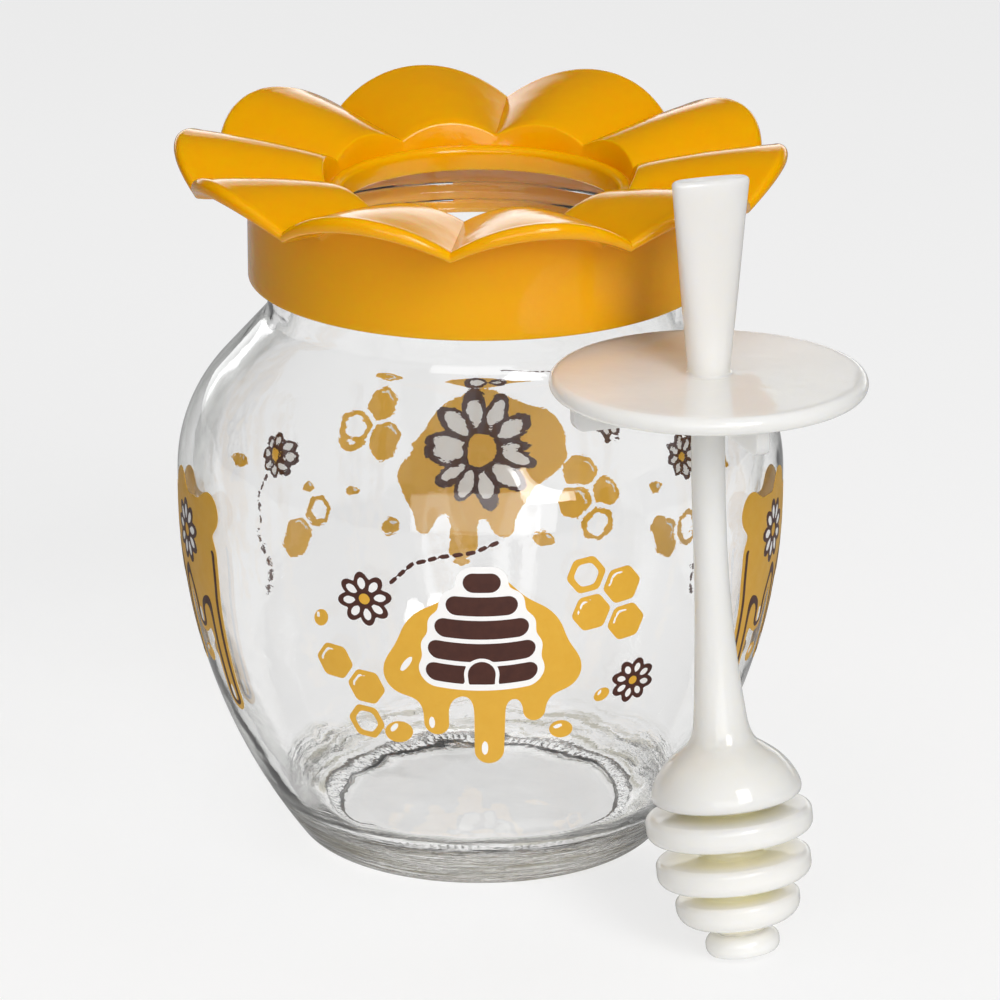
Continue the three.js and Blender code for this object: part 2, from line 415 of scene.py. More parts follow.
@dataclass(frozen=True)
class ClearGlass:
    """Clear pressed glass, with painted shade: dark and streaky where it is seen edge on, and dark
    in bands round its heel.
    """

    name: str = "clear_pressed_glass"
    # Colours of the painted edge shade, from face on through slant to edge on, and where the ramp
    # steps between them.
    face: Colour = (1.0, 1.0, 1.0)
    painted_slant_shade: Colour = (0.46, 0.47, 0.45)
    edge: Colour = (0.04, 0.042, 0.04)
    painted_shade_steps: tuple[float, float, float] = (0.66, 0.83, 0.95)
    streak_share: float = 0.3
    streak_mean: float = 0.65
    # Painted shade: the dark olive colour laid in bands round the heel's outer foot.
    heel: Colour = (0.42, 0.39, 0.29)
    heel_shade_bands: Pair = (0.8, 0.92)
    heel_ridge: float = 4.0
    tint: Colour = (0.62, 0.64, 0.56)
    tint_density: float = 6.0
    ior: float = 1.46
    ripple_depth: float = 0.00018

    def material(self, effects: SharedEffects) -> bpy.types.Material:
        """Builds the glass.

        Args:
            effects: The shared shader groups.

        Returns:
            The material.
        """
        material, bench, output = new_material(self.name)
        # Painted shade: the base colour runs from white face on to near black edge on, streaked by
        # noise. It stands in for the dark surroundings that the edges refract. The glass's own
        # faint tint comes from the volume absorption below.
        facing = bench.add("ShaderNodeLayerWeight", {"Blend": 0.5}).outputs["Facing"]
        streaks = bench.effect(effects.waver, {
            "Scale": 130.0, "Stretch": (1.0, 1.0, 0.16), "Grain": 420.0, "Grain Share": 0.35,
        })
        edge_shade_amount = bench.maths("MULTIPLY_ADD", streaks, self.streak_share, facing)
        ramp = bench.add("ShaderNodeValToRGB", {
            "Fac": bench.maths("SUBTRACT", edge_shade_amount, self.streak_mean * self.streak_share),
        })
        steps = ramp.color_ramp.elements
        steps[0].position, steps[0].color = self.painted_shade_steps[0], opaque(self.face)
        steps[1].position, steps[1].color = self.painted_shade_steps[2], opaque(self.edge)
        middle = steps.new(self.painted_shade_steps[1])
        middle.color = opaque(self.painted_slant_shade)
        # Painted shade: dark olive bands on the heel's outer foot stand in for the dark
        # refractions of the thick heel. The ridges that the same bands raise in the bump are real
        # relief.
        at_heel = bench.add("ShaderNodeAttribute", attribute_name="heel").outputs["Fac"]
        bands = bench.effect(effects.waver, {
            "Scale": 50.0, "Stretch": (1.0, 1.0, 16.0), "Grain": 150.0, "Grain Share": 0.6,
        })
        banded = bench.ranged(bands, *self.heel_shade_bands, 0.0, 1.0)
        heel_shade_share = bench.maths("MULTIPLY", at_heel, banded)
        ridges = bench.maths("MULTIPLY", bench.maths("MULTIPLY", bands, at_heel), self.heel_ridge)
        colour = bench.mixed(heel_shade_share, ramp.outputs["Color"], opaque(self.heel))
        ripple = bench.effect(effects.waver, {
            "Scale": 55.0, "Stretch": (1.0, 1.0, 1.6), "Grain": 420.0, "Grain Share": 0.05,
        })
        bump = bench.add("ShaderNodeBump", {
            "Height": bench.maths("ADD", ridges, ripple),
            "Strength": 1.0, "Distance": self.ripple_depth,
        })
        haze = bench.effect(effects.haze, {"Scale": 70.0, "Low": 0.0, "High": 0.012})
        glass = bench.add("ShaderNodeBsdfPrincipled", {
            "Base Color": colour,
            "Roughness": haze,
            "IOR": self.ior,
            "Transmission Weight": 1.0,
            "Normal": bump.outputs["Normal"],
        })
        lamp_ray = bench.add("ShaderNodeLightPath").outputs["Is Shadow Ray"]
        through = bench.add("ShaderNodeBsdfTransparent")
        surface = bench.add("ShaderNodeMixShader", {
            0: lamp_ray, 1: glass.outputs[0], 2: through.outputs[0],
        })
        depth = bench.add("ShaderNodeVolumeAbsorption", {
            "Color": opaque(self.tint), "Density": self.tint_density,
        })
        bench.tree.links.new(surface.outputs[0], output.inputs["Surface"])
        bench.tree.links.new(depth.outputs[0], output.inputs["Volume"])
        return material


@dataclass(frozen=True)
class LidPlastic:
    """Glossy opaque amber plastic, with fine turned lines on the lid's collar."""

    name: str = "amber_lid_plastic"
    colour: Colour = (0.91, 0.43, 0.0)
    deep: Colour = (0.86, 0.37, 0.0)
    line_pitch: float = 0.9
    line_top: float = 98.0
    line_fade: float = 2.0
    line_share: float = 0.015
    waver_depth: float = 0.00025
    glow: float = 0.6
    glow_depth: float = 0.004

    def material(self, effects: SharedEffects) -> bpy.types.Material:
        """Builds the plastic.

        Args:
            effects: The shared shader groups.

        Returns:
            The material.
        """
        material, bench, output = new_material(self.name)
        colour = bench.effect(effects.drift, {
            "Colour": opaque(self.colour), "Deep": opaque(self.deep), "Scale": 38.0,
            "Share": 0.45,
        })
        waver = bench.effect(effects.waver, {
            "Scale": 120.0, "Stretch": (1.0, 1.0, 1.0), "Grain": 1500.0, "Grain Share": 0.12,
        })
        place = bench.add("ShaderNodeTexCoord").outputs["Object"]
        height = bench.add("ShaderNodeSeparateXYZ", {0: place}).outputs["Z"]
        turns = bench.maths("MULTIPLY", height, 2 * math.pi / (self.line_pitch * MM))
        top = self.line_top * MM
        low = bench.ranged(height, top - self.line_fade * MM, top, self.line_share, 0.0)
        lines = bench.maths("MULTIPLY", bench.maths("SINE", turns), low)
        bump = bench.add("ShaderNodeBump", {
            "Height": bench.maths("ADD", waver, lines), "Strength": 0.5,
            "Distance": self.waver_depth,
        })
        plastic = bench.add("ShaderNodeBsdfPrincipled", {
            "Base Color": colour,
            "Roughness": bench.effect(effects.haze, {"Scale": 160.0, "Low": 0.08, "High": 0.13}),
            "IOR": 1.49,
            "Specular IOR Level": 0.4,
            "Subsurface Weight": self.glow,
            "Subsurface Radius": (1.0, 0.35, 0.05),
            "Subsurface Scale": self.glow_depth,
            "Normal": bump.outputs["Normal"],
        })
        bench.tree.links.new(plastic.outputs[0], output.inputs["Surface"])
        return material


@dataclass(frozen=True)
class DipperPlastic:
    """Glossy warm white plastic, with painted light: creamier and lighter down in the grooves of
    the dipper's head.
    """

    name: str = "white_dipper_plastic"
    colour: Colour = (0.845, 0.834, 0.797)
    deep: Colour = (0.83, 0.814, 0.765)
    # Painted light: the lighter cream laid into the head's grooves.
    groove: Colour = (0.98, 0.905, 0.71)
    glow: float = 0.8
    glow_depth: float = 0.009
    waver_depth: float = 0.0002

    def material(self, effects: SharedEffects) -> bpy.types.Material:
        """Builds the plastic.

        Args:
            effects: The shared shader groups.

        Returns:
            The material.
        """
        material, bench, output = new_material(self.name)
        colour = bench.effect(effects.drift, {
            "Colour": opaque(self.colour), "Deep": opaque(self.deep), "Scale": 45.0,
            "Share": 0.5,
        })
        # Painted light: the grooves get a lighter cream colour. It stands in for the light that
        # shines through the thin rings and bounces between them.
        depth = bench.add("ShaderNodeAttribute", attribute_name="groove").outputs["Fac"]
        groove_glow = bench.mixed(depth, colour, opaque(self.groove))
        streaks = bench.effect(effects.waver, {
            "Scale": 240.0, "Stretch": (1.0, 1.0, 0.14), "Grain": 1400.0, "Grain Share": 0.03,
        })
        bump = bench.add("ShaderNodeBump", {
            "Height": streaks, "Strength": 0.25, "Distance": self.waver_depth,
        })
        plastic = bench.add("ShaderNodeBsdfPrincipled", {
            "Base Color": groove_glow,
            "Roughness": bench.effect(effects.haze, {"Scale": 140.0, "Low": 0.05, "High": 0.09}),
            "IOR": 1.5,
            "Subsurface Weight": self.glow,
            "Subsurface Radius": (1.0, 0.94, 0.8),
            "Subsurface Scale": self.glow_depth,
            "Normal": bump.outputs["Normal"],
        })
        bench.tree.links.new(plastic.outputs[0], output.inputs["Surface"])
        return material


@dataclass(frozen=True)
class PrintInk:
    """Screen-printed ink with a fine grain."""

    name: str
    colour: Colour
    deep: Colour
    share: float
    sheer: float
    grain: float = 700.0

    def material(self, effects: SharedEffects) -> bpy.types.Material:
        """Builds the ink.

        Args:
            effects: The shared shader groups.

        Returns:
            The material.
        """
        material, bench, output = new_material(self.name)
        colour = bench.effect(effects.drift, {
            "Colour": opaque(self.colour), "Deep": opaque(self.deep), "Scale": self.grain,
            "Share": self.share,
        })
        film = bench.effect(effects.waver, {
            "Scale": 300.0, "Stretch": (1.0, 1.0, 1.0), "Grain": 2200.0, "Grain Share": 0.4,
        })
        bump = bench.add("ShaderNodeBump", {
            "Height": film, "Strength": 0.4, "Distance": 0.0001,
        })
        ink = bench.add("ShaderNodeBsdfPrincipled", {
            "Base Color": colour,
            "Roughness": bench.effect(effects.haze, {"Scale": 400.0, "Low": 0.4, "High": 0.55}),
            "IOR": 1.48,
            "Transmission Weight": self.sheer,
            "Normal": bump.outputs["Normal"],
        })
        bench.tree.links.new(ink.outputs[0], output.inputs["Surface"])
        return material


@dataclass(frozen=True)
class StudioFloor:
    """Pale matt sweep that glows evenly, and throws light only from the object backwards."""

    name: str = "pale_floor"
    colour: Colour = (0.33, 0.33, 0.33)
    deep: Colour = (0.32, 0.32, 0.32)
    glow: float = 0.66
    dim: float = 0.1
    lit_half: float = 118.0
    fade_half: float = 190.0
    lit_front: float = 90.0
    fade_front: float = 230.0
    mirror_dim: float = 0.8

    def material(self, effects: SharedEffects) -> bpy.types.Material:
        """Builds the floor's finish.

        Args:
            effects: The shared shader groups.

        Returns:
            The material.
        """
        material, bench, output = new_material(self.name)
        colour = bench.effect(effects.drift, {
            "Colour": opaque(self.colour), "Deep": opaque(self.deep), "Scale": 3.0,
            "Share": 1.0,
        })
        place = bench.add("ShaderNodeTexCoord").outputs["Object"]
        parts = bench.add("ShaderNodeSeparateXYZ", {0: place})
        aside = bench.ranged(bench.maths("ABSOLUTE", parts.outputs["X"]), self.lit_half * MM,
                             self.fade_half * MM, 0.0, 1.0)
        front = bench.ranged(parts.outputs["Y"], -self.fade_front * MM, -self.lit_front * MM,
                             1.0, 0.0)
        rays = bench.add("ShaderNodeLightPath").outputs
        seen = bench.maths("MAXIMUM", rays["Is Camera Ray"], rays["Is Transmission Ray"])
        unlit = bench.maths("MAXIMUM", bench.maths("MAXIMUM", aside, front),
                            bench.maths("MULTIPLY", rays["Is Glossy Ray"], self.mirror_dim))
        fade = bench.maths("MULTIPLY", unlit, bench.maths("SUBTRACT", 1.0, seen))
        light = bench.mixed(fade, (1.0, 1.0, 1.0, 1.0), opaque((self.dim,) * 3))
        sheet = bench.add("ShaderNodeBsdfPrincipled", {
            "Base Color": colour,
            "Roughness": bench.effect(effects.haze, {"Scale": 4.0, "Low": 0.85, "High": 0.95}),
            "Specular IOR Level": 0.0,
            "Emission Color": light,
            "Emission Strength": self.glow,
        })
        bench.tree.links.new(sheet.outputs[0], output.inputs["Surface"])
        return material


def node_axis(node: str) -> Pair:
    """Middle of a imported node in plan, in millimetres."""
    low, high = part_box(node)
    return (low.x + high.x) / 2 / MM, (low.y + high.y) / 2 / MM


@dataclass
class GlassJar:
    """Round-bellied glass jar with a short neck, a thick base and a knurled bearing ring."""

    belly_radius: float = 44.9
    belly_low: float = 54.0
    belly_high: float = 57.0
    lower_arc: float = 87.8
    shoulder_arc: float = 23.0
    shoulder_turn: float = 42.0
    neck_radius: float = 31.3
    neck_fillet: float = 4.0
    heel_radius: float = 4.0
    wall: float = 2.8
    floor_thickness: float = 6.5
    floor_crown: float = 0.7
    inner_heel_radius: float = 9.0
    foot_width: float = 3.0
    punt_height: float = 0.8
    punt_crown: float = 0.3
    punt_step: float = 0.8
    thread_low: float = 87.0
    thread_pitch: float = 2.7
    thread_turns: int = 2
    thread_height: float = 0.55
    thread_half: float = 0.6
    thread_end: float = 0.06
    ribs: int = 120
    rib_depth: float = 0.3
    rib_margin: float = 0.1
    wall_ripple: float = 0.05
    heel_ripple: float = 0.12
    ripple_radii: Pair = (20.0, 27.0)
    ripple_heights: Pair = (9.0, 19.0)
    heel_shade_radius: float = 1.0
    heel_shade_heights: Pair = (4.0, 10.0)
    waves: tuple[tuple[float, int, float, float], ...] = (
        (0.5, 5, 0.11, 0.7), (0.3, 13, -0.23, 2.1), (0.3, 23, 0.31, 4.4),
    )
    wave_lift: float = 0.4
    heel_steps: int = 10
    neck_steps: int = 36
    base_steps: int = 8
    turns: int = 360
    crease: float = 40.0

    def __post_init__(self) -> None:
        """Reads the jar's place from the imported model."""
        self.axis = node_axis("glass_jar")
        self.rim_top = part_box("glass_jar")[1].z / MM
        self.outside = self.wall_profile(0.0, 0.0, self.heel_radius)

    def wall_profile(self, inset: float, floor: float, heel_radius: float) -> np.ndarray:
        """Section of the wall from its heel to its neck.

        Args:
            inset: How far the section lies inside the outer face.
            floor: Height at which the heel starts.
            heel_radius: Radius of the heel's arc.

        Returns:
            Points from the heel's lowest one up to the neck.
        """
        lower_radius = self.lower_arc - inset
        lower = (self.belly_radius - self.lower_arc, self.belly_low)
        shoulder = (self.belly_radius - self.shoulder_arc, self.belly_high)
        heel_height = floor + heel_radius
        reach = lower_radius - heel_radius
        heel = (lower[0] + math.sqrt(reach ** 2 - (heel_height - lower[1]) ** 2), heel_height)
        meet = math.degrees(math.atan2(heel[1] - lower[1], heel[0] - lower[0]))
        turn = math.radians(self.shoulder_turn)
        neck_x = self.neck_radius + self.neck_fillet
        across = neck_x - shoulder[0]
        radii = self.shoulder_arc + self.neck_fillet
        neck = (neck_x, shoulder[1] + (radii - across * math.cos(turn)) / math.sin(turn))
        return chain(
            arc(heel, heel_radius, -90, meet, self.heel_steps),
            arc(lower, lower_radius, meet, 0, 40),
            arc(shoulder, self.shoulder_arc - inset, 0, self.shoulder_turn, 16),
            arc(neck, self.neck_fillet + inset, 180 + self.shoulder_turn, 180, 8),
        )

    def outside_at(self, azimuth: np.ndarray, height: np.ndarray, lift: float) -> np.ndarray:
        """Points over the outer face of the glass.

        Args:
            azimuth: Azimuth of each point, in radians.
            height: Height of each point on the face.
            lift: Distance off the face, outwards.

        Returns:
            The points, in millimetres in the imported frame.
        """
        radii, heights = self.outside[self.heel_steps:].T
        slope = np.gradient(radii, heights)
        radius = np.interp(height, heights, radii)
        lean = np.interp(height, heights, slope)
        length = np.sqrt(1 + lean ** 2)
        out = radius + lift / length
        return np.column_stack((
            self.axis[0] + out * np.sin(azimuth),
            self.axis[1] - out * np.cos(azimuth),
            height - lift * lean / length,
        ))

    def profile(self) -> tuple[np.ndarray, int]:
        """Whole section of the glass.

        Returns:
            Points from the middle of the base, over the outside and the rim, to the middle of
            the inner floor, and the number of the first point on the inside.
        """
        foot = self.outside[0, 0]
        ring = foot - self.foot_width
        hollow = ring - self.punt_step
        lip = self.wall / 2
        rim = (self.neck_radius - lip, self.rim_top - lip)
        inside = self.wall_profile(self.wall, self.floor_thickness, self.inner_heel_radius)
        spread = np.linspace(0, 1, self.base_steps + 1)
        across = np.concatenate((hollow * spread, blend(hollow, ring, spread[1:])))
        dome = self.punt_height + self.punt_crown * (1 - (across / ring) ** 2)
        under = np.column_stack((across, dome * (1 - smooth(across, hollow, ring))))
        floor = np.column_stack((
            inside[0, 0] * spread[::-1],
            self.floor_thickness + self.floor_crown * (1 - spread[::-1] ** 2),
        ))
        outer = chain(
            under, straight((ring, 0.0), (foot, 0.0), 6), self.outside,
            straight(tuple(self.outside[-1]), (self.neck_radius, rim[1]), self.neck_steps),
            arc(rim, lip, 0, 180, 12),
        )
        inner = chain(straight((inside[-1, 0], rim[1]), tuple(inside[-1]), 8), inside[::-1], floor)
        return chain(outer, inner), len(outer)

    def knurl(self, radius: np.ndarray, height: np.ndarray) -> np.ndarray:
        """How far the bearing ring is cut up between its ribs.

        Args:
            radius: Radius of each point, by turn and by row.
            height: Height of each point.

        Returns:
            The rise of each point.
        """
        foot = self.outside[0, 0]
        low, high = foot - self.foot_width + self.rib_margin, foot - self.rib_margin
        ring = (height < FLAT) & (radius > low) & (radius < high)
        valley = np.arange(self.turns) % (self.turns // self.ribs) == 0
        return self.rib_depth * (ring & valley[:, None])

    def thread(self, azimuth: np.ndarray, height: np.ndarray) -> np.ndarray:
        """How far the low thread under the lid's collar stands out.

        Args:
            azimuth: Azimuth of each turn, in radians.
            height: Height of each point, by turn and by row.

        Returns:
            The growth of each point's radius.
        """
        growth = np.zeros_like(height)
        for turn in range(self.thread_turns):
            along = azimuth / (2 * math.pi) + turn
            ends = smooth(along, 0.0, self.thread_end)
            ends = ends * smooth(self.thread_turns - along, 0.0, self.thread_end)
            off = (height - self.thread_low - self.thread_pitch * along) / self.thread_half
            growth += self.thread_height * ends * np.exp(-off ** 2)
        return growth

    def build(self, effects: SharedEffects) -> bpy.types.Object:
        """Makes the jar.

        Args:
            effects: The shared shader groups.

        Returns:
            The jar's piece.
        """
        profile, first_inside = self.profile()
        azimuth = np.linspace(0, 2 * math.pi, self.turns, endpoint=False)[:, None]
        radius = np.repeat(profile[None, :, 0], self.turns, axis=0)
        height = np.repeat(profile[None, :, 1], self.turns, axis=0)
        height = height + self.knurl(radius, height)
        inner = np.arange(len(profile))[None, :] >= first_inside
        radius = radius + self.thread(azimuth, height) * ~inner

        # Pressed glass is never quite even inside, least of all round the heel.
        foot, heel_shade_spread = self.outside[0, 0], self.heel_shade_radius
        on_wall = inner * smooth(radius, *self.ripple_radii)
        at_heel = (1 - smooth(height, *self.ripple_heights)) * on_wall
        # The heel mask marks the outer foot up to the lower wall. There the glass paints its dark
        # heel bands, which are painted shade.
        heel_shade_mask = smooth(radius, foot - heel_shade_spread, foot + heel_shade_spread)
        heel_shade_mask = heel_shade_mask * (1 - smooth(height, *self.heel_shade_heights))
        depth = blend(self.wall_ripple, self.heel_ripple, at_heel)
        wave = sum(
            share * np.sin(count * azimuth + twist * height + start)
            for share, count, twist, start in self.waves
        )
        radius = radius - depth * on_wall * (wave + self.wave_lift)
        height = height + depth / 2 * at_heel * wave

        grid = np.stack((
            self.axis[0] + radius * np.sin(azimuth),
            self.axis[1] - radius * np.cos(azimuth),
            height,
        ), axis=-1)
        points, faces = skin(grid, loop=False)
        mesh = make_mesh("glass_jar_skin", points, faces, {"heel": heel_shade_mask.ravel()})
        piece = make_piece("glass_jar_skin", mesh, self.crease)
        return dress(piece, ClearGlass().material(effects), Slot.GLASS, "glass_jar")


@dataclass(frozen=True)
class PetalSection:
    """The lid's section at one angle. Heights are above the collar's lower edge."""

    radius: float
    root_top: float
    tip_top: float
    lip: float

    def towards(self, other: "PetalSection", share: float) -> "PetalSection":
        """Section at a share of the way to another one."""
        pairs = zip(astuple(self), astuple(other))
        return PetalSection(*[blend(low, high, share) for low, high in pairs])


@dataclass
class FlowerLid:
    """Amber lid: a plain collar, ten arched petals, a raised ring and an open hole."""

    collar_radius: float = 34.1
    collar_wall: float = 1.8
    collar_round: float = 0.35
    collar_low: float = 1.0
    collar_break: float = 0.5
    roof_underside: float = 9.8
    roof_break: float = 0.3
    hole_radius: float = 20.2
    hole_top: float = 1.2
    hole_break: float = 0.2
    ring_radius: float = 21.9
    ring_top: float = 13.3
    ring_groove: float = 12.8
    ring_round: float = 0.3
    ring_bevel: float = 0.8
    groove_break: float = 0.15
    petal_root: float = 22.9
    root_slope: float = 0.5
    root_round: float = 0.4
    root_inset: float = 0.1
    root_drop: float = 0.8
    under_fillet: float = 1.0
    fillet_bend: float = 0.3
    fillet_gap: float = 0.2
    shell: float = 1.8
    crown: float = 0.5
    lip_round: float = 0.46
    lip_start: float = 1.02
    lip_clear: float = 1.05
    petals: int = 10
    first_valley: float = -5.5
    under_steps: int = 8
    top_steps: int = 25
    turns_a_petal: int = 36
    crease: float = 32.0
    valley: PetalSection = PetalSection(42.4, 14.5, 15.4, 1.6)
    crest: PetalSection = PetalSection(44.9, 16.6, 20.0, 2.4)

    def petal_top(self, at: PetalSection, arch: float, along: np.ndarray) -> np.ndarray:
        """Points on a petal's top.

        Args:
            at: The petal's section.
            arch: 0 in a valley between petals, 1 on a petal's crest.
            along: Share of the way from the root to the tip, for each point.

        Returns:
            One row of radius and height for each point.
        """
        rise = self.crown * 4 * along * (1 - along) * arch
        return np.column_stack((
            blend(self.petal_root, at.radius, along),
            blend(at.root_top, at.tip_top, along) + rise,
        ))

    def petal_under(self, at: PetalSection, arch: float) -> np.ndarray:
        """Points of the collar's side and of a petal's underside.

        Args:
            at: The petal's section.
            arch: 0 in a valley between petals, 1 on a petal's crest.

        Returns:
            Points from the collar's lower edge out to the lip.
        """
        on_collar = (self.collar_radius - self.petal_root) / (at.radius - self.petal_root)
        along = np.linspace(on_collar, 1.0, self.under_steps + 2)
        sheet = self.petal_top(at, arch, along)
        sheet[:, 1] -= blend(self.shell, at.lip, (along - on_collar) / (1 - on_collar))
        corner = at.lip * self.lip_round
        clear = sheet[:, 0] > self.collar_radius + self.under_fillet
        clear &= sheet[:, 0] < at.radius - corner * self.lip_clear
        lip = (at.radius - corner * self.lip_start, at.tip_top - at.lip)
        knots = np.vstack((sheet[clear], lip))
        out = np.linspace(knots[0, 0], lip[0], self.under_steps + 1)
        bend = self.under_fillet * self.fillet_bend
        fillet = (self.collar_radius, sheet[0, 1] - self.under_fillet)
        side_top = (self.collar_radius, fillet[1] - self.fillet_gap)
        return np.vstack((
            straight((self.collar_radius, self.collar_low), side_top, 10),
            straight(fillet, (self.collar_radius + bend, sheet[0, 1] - bend), 3),
            np.column_stack((out, np.interp(out, *knots.T))),
        ))

    def ring_and_roof(self) -> np.ndarray:
        """Middle of the lid's section.

        Returns:
            Points from the groove inside the petals, over the ring and the roof, to the collar.
        """
        inner = self.collar_radius - self.collar_wall
        groove = self.petal_root - self.root_slope - self.groove_break
        return np.vstack((
            straight((groove, self.ring_groove),
                     (self.ring_radius + self.root_inset, self.ring_groove), 2),
            arc((self.ring_radius - self.ring_round, self.ring_top - self.ring_round),
                self.ring_round, 0, 90, 4),
            arc((self.hole_radius + self.ring_bevel, self.ring_top - self.ring_bevel),
                self.ring_bevel, 90, 180, 6),
            straight((self.hole_radius, self.ring_top - self.hole_top),
                     (self.hole_radius, self.roof_underside + self.hole_break), 4),
            straight((self.hole_radius + self.hole_break, self.roof_underside),
                     (inner - self.roof_break, self.roof_underside), 6),
            straight((inner, self.roof_underside - self.roof_break),
                     (inner, self.roof_break), 6),
            straight((inner + self.hole_break, 0.0),
                     (self.collar_radius - self.collar_break, 0.0), 2),
        ))

    def section(self, arch: float) -> np.ndarray:
        """Closed section of the lid.

        Args:
            arch: 0 in a valley between petals, 1 on a petal's crest.

        Returns:
            Points round the section.
        """
        at = self.valley.towards(self.crest, arch)
        corner = at.lip * self.lip_round
        lip_middle = at.radius - corner
        edge = self.collar_round
        root = (self.petal_root + self.root_round, at.root_top - self.root_round)
        inwards = np.linspace(1.0, 0.0, self.top_steps + 1)[2:-1]
        return np.vstack((
            arc((self.collar_radius - edge, edge), edge, -90, 0, 4),
            self.petal_under(at, arch),
            arc((lip_middle, at.tip_top - at.lip + corner), corner, -80, 0, 4),
            arc((lip_middle, at.tip_top - corner), corner, 5, 90, 5),
            self.petal_top(at, arch, inwards),
            arc(root, self.root_round, 90, 180, 4),
            straight((self.petal_root - self.root_inset, at.root_top - self.root_drop),
                     (self.petal_root - self.root_slope, self.ring_groove + self.groove_break),
                     4),
            self.ring_and_roof(),
        ))

    def build(self, effects: SharedEffects) -> bpy.types.Object:
        """Makes the lid.

        Args:
            effects: The shared shader groups.

        Returns:
            The lid's piece.
        """
        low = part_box("flower_lid")[0].z / MM
        axis = node_axis("glass_jar")
        turns = self.petals * self.turns_a_petal
        columns = []
        for turn in range(turns):
            across = 2 * (turn % self.turns_a_petal) / self.turns_a_petal - 1
            azimuth = math.radians(self.first_valley + 360 * turn / turns)
            section = self.section(1 - across ** 2)
            columns.append(np.column_stack((
                axis[0] + section[:, 0] * math.sin(azimuth),
                axis[1] - section[:, 0] * math.cos(azimuth),
                low + section[:, 1],
            )))
        points, faces = skin(np.array(columns), loop=True)
        mesh = make_mesh("flower_lid_skin", points, faces)
        piece = make_piece("flower_lid_skin", mesh, self.crease)
        return dress(piece, LidPlastic().material(effects), Slot.LID, "flower_lid")


@dataclass(frozen=True)
class FlatRing:
    """A flat ring with rounded edges round the dipper's stem."""

    radius: float
    top: float
    thickness: float
    low_edge: float
    high_edge: float


@dataclass(frozen=True)
class Bow:
    """How far the dipper's tip bows aside, and how the bow grows downwards."""

    reach: float
    power: float


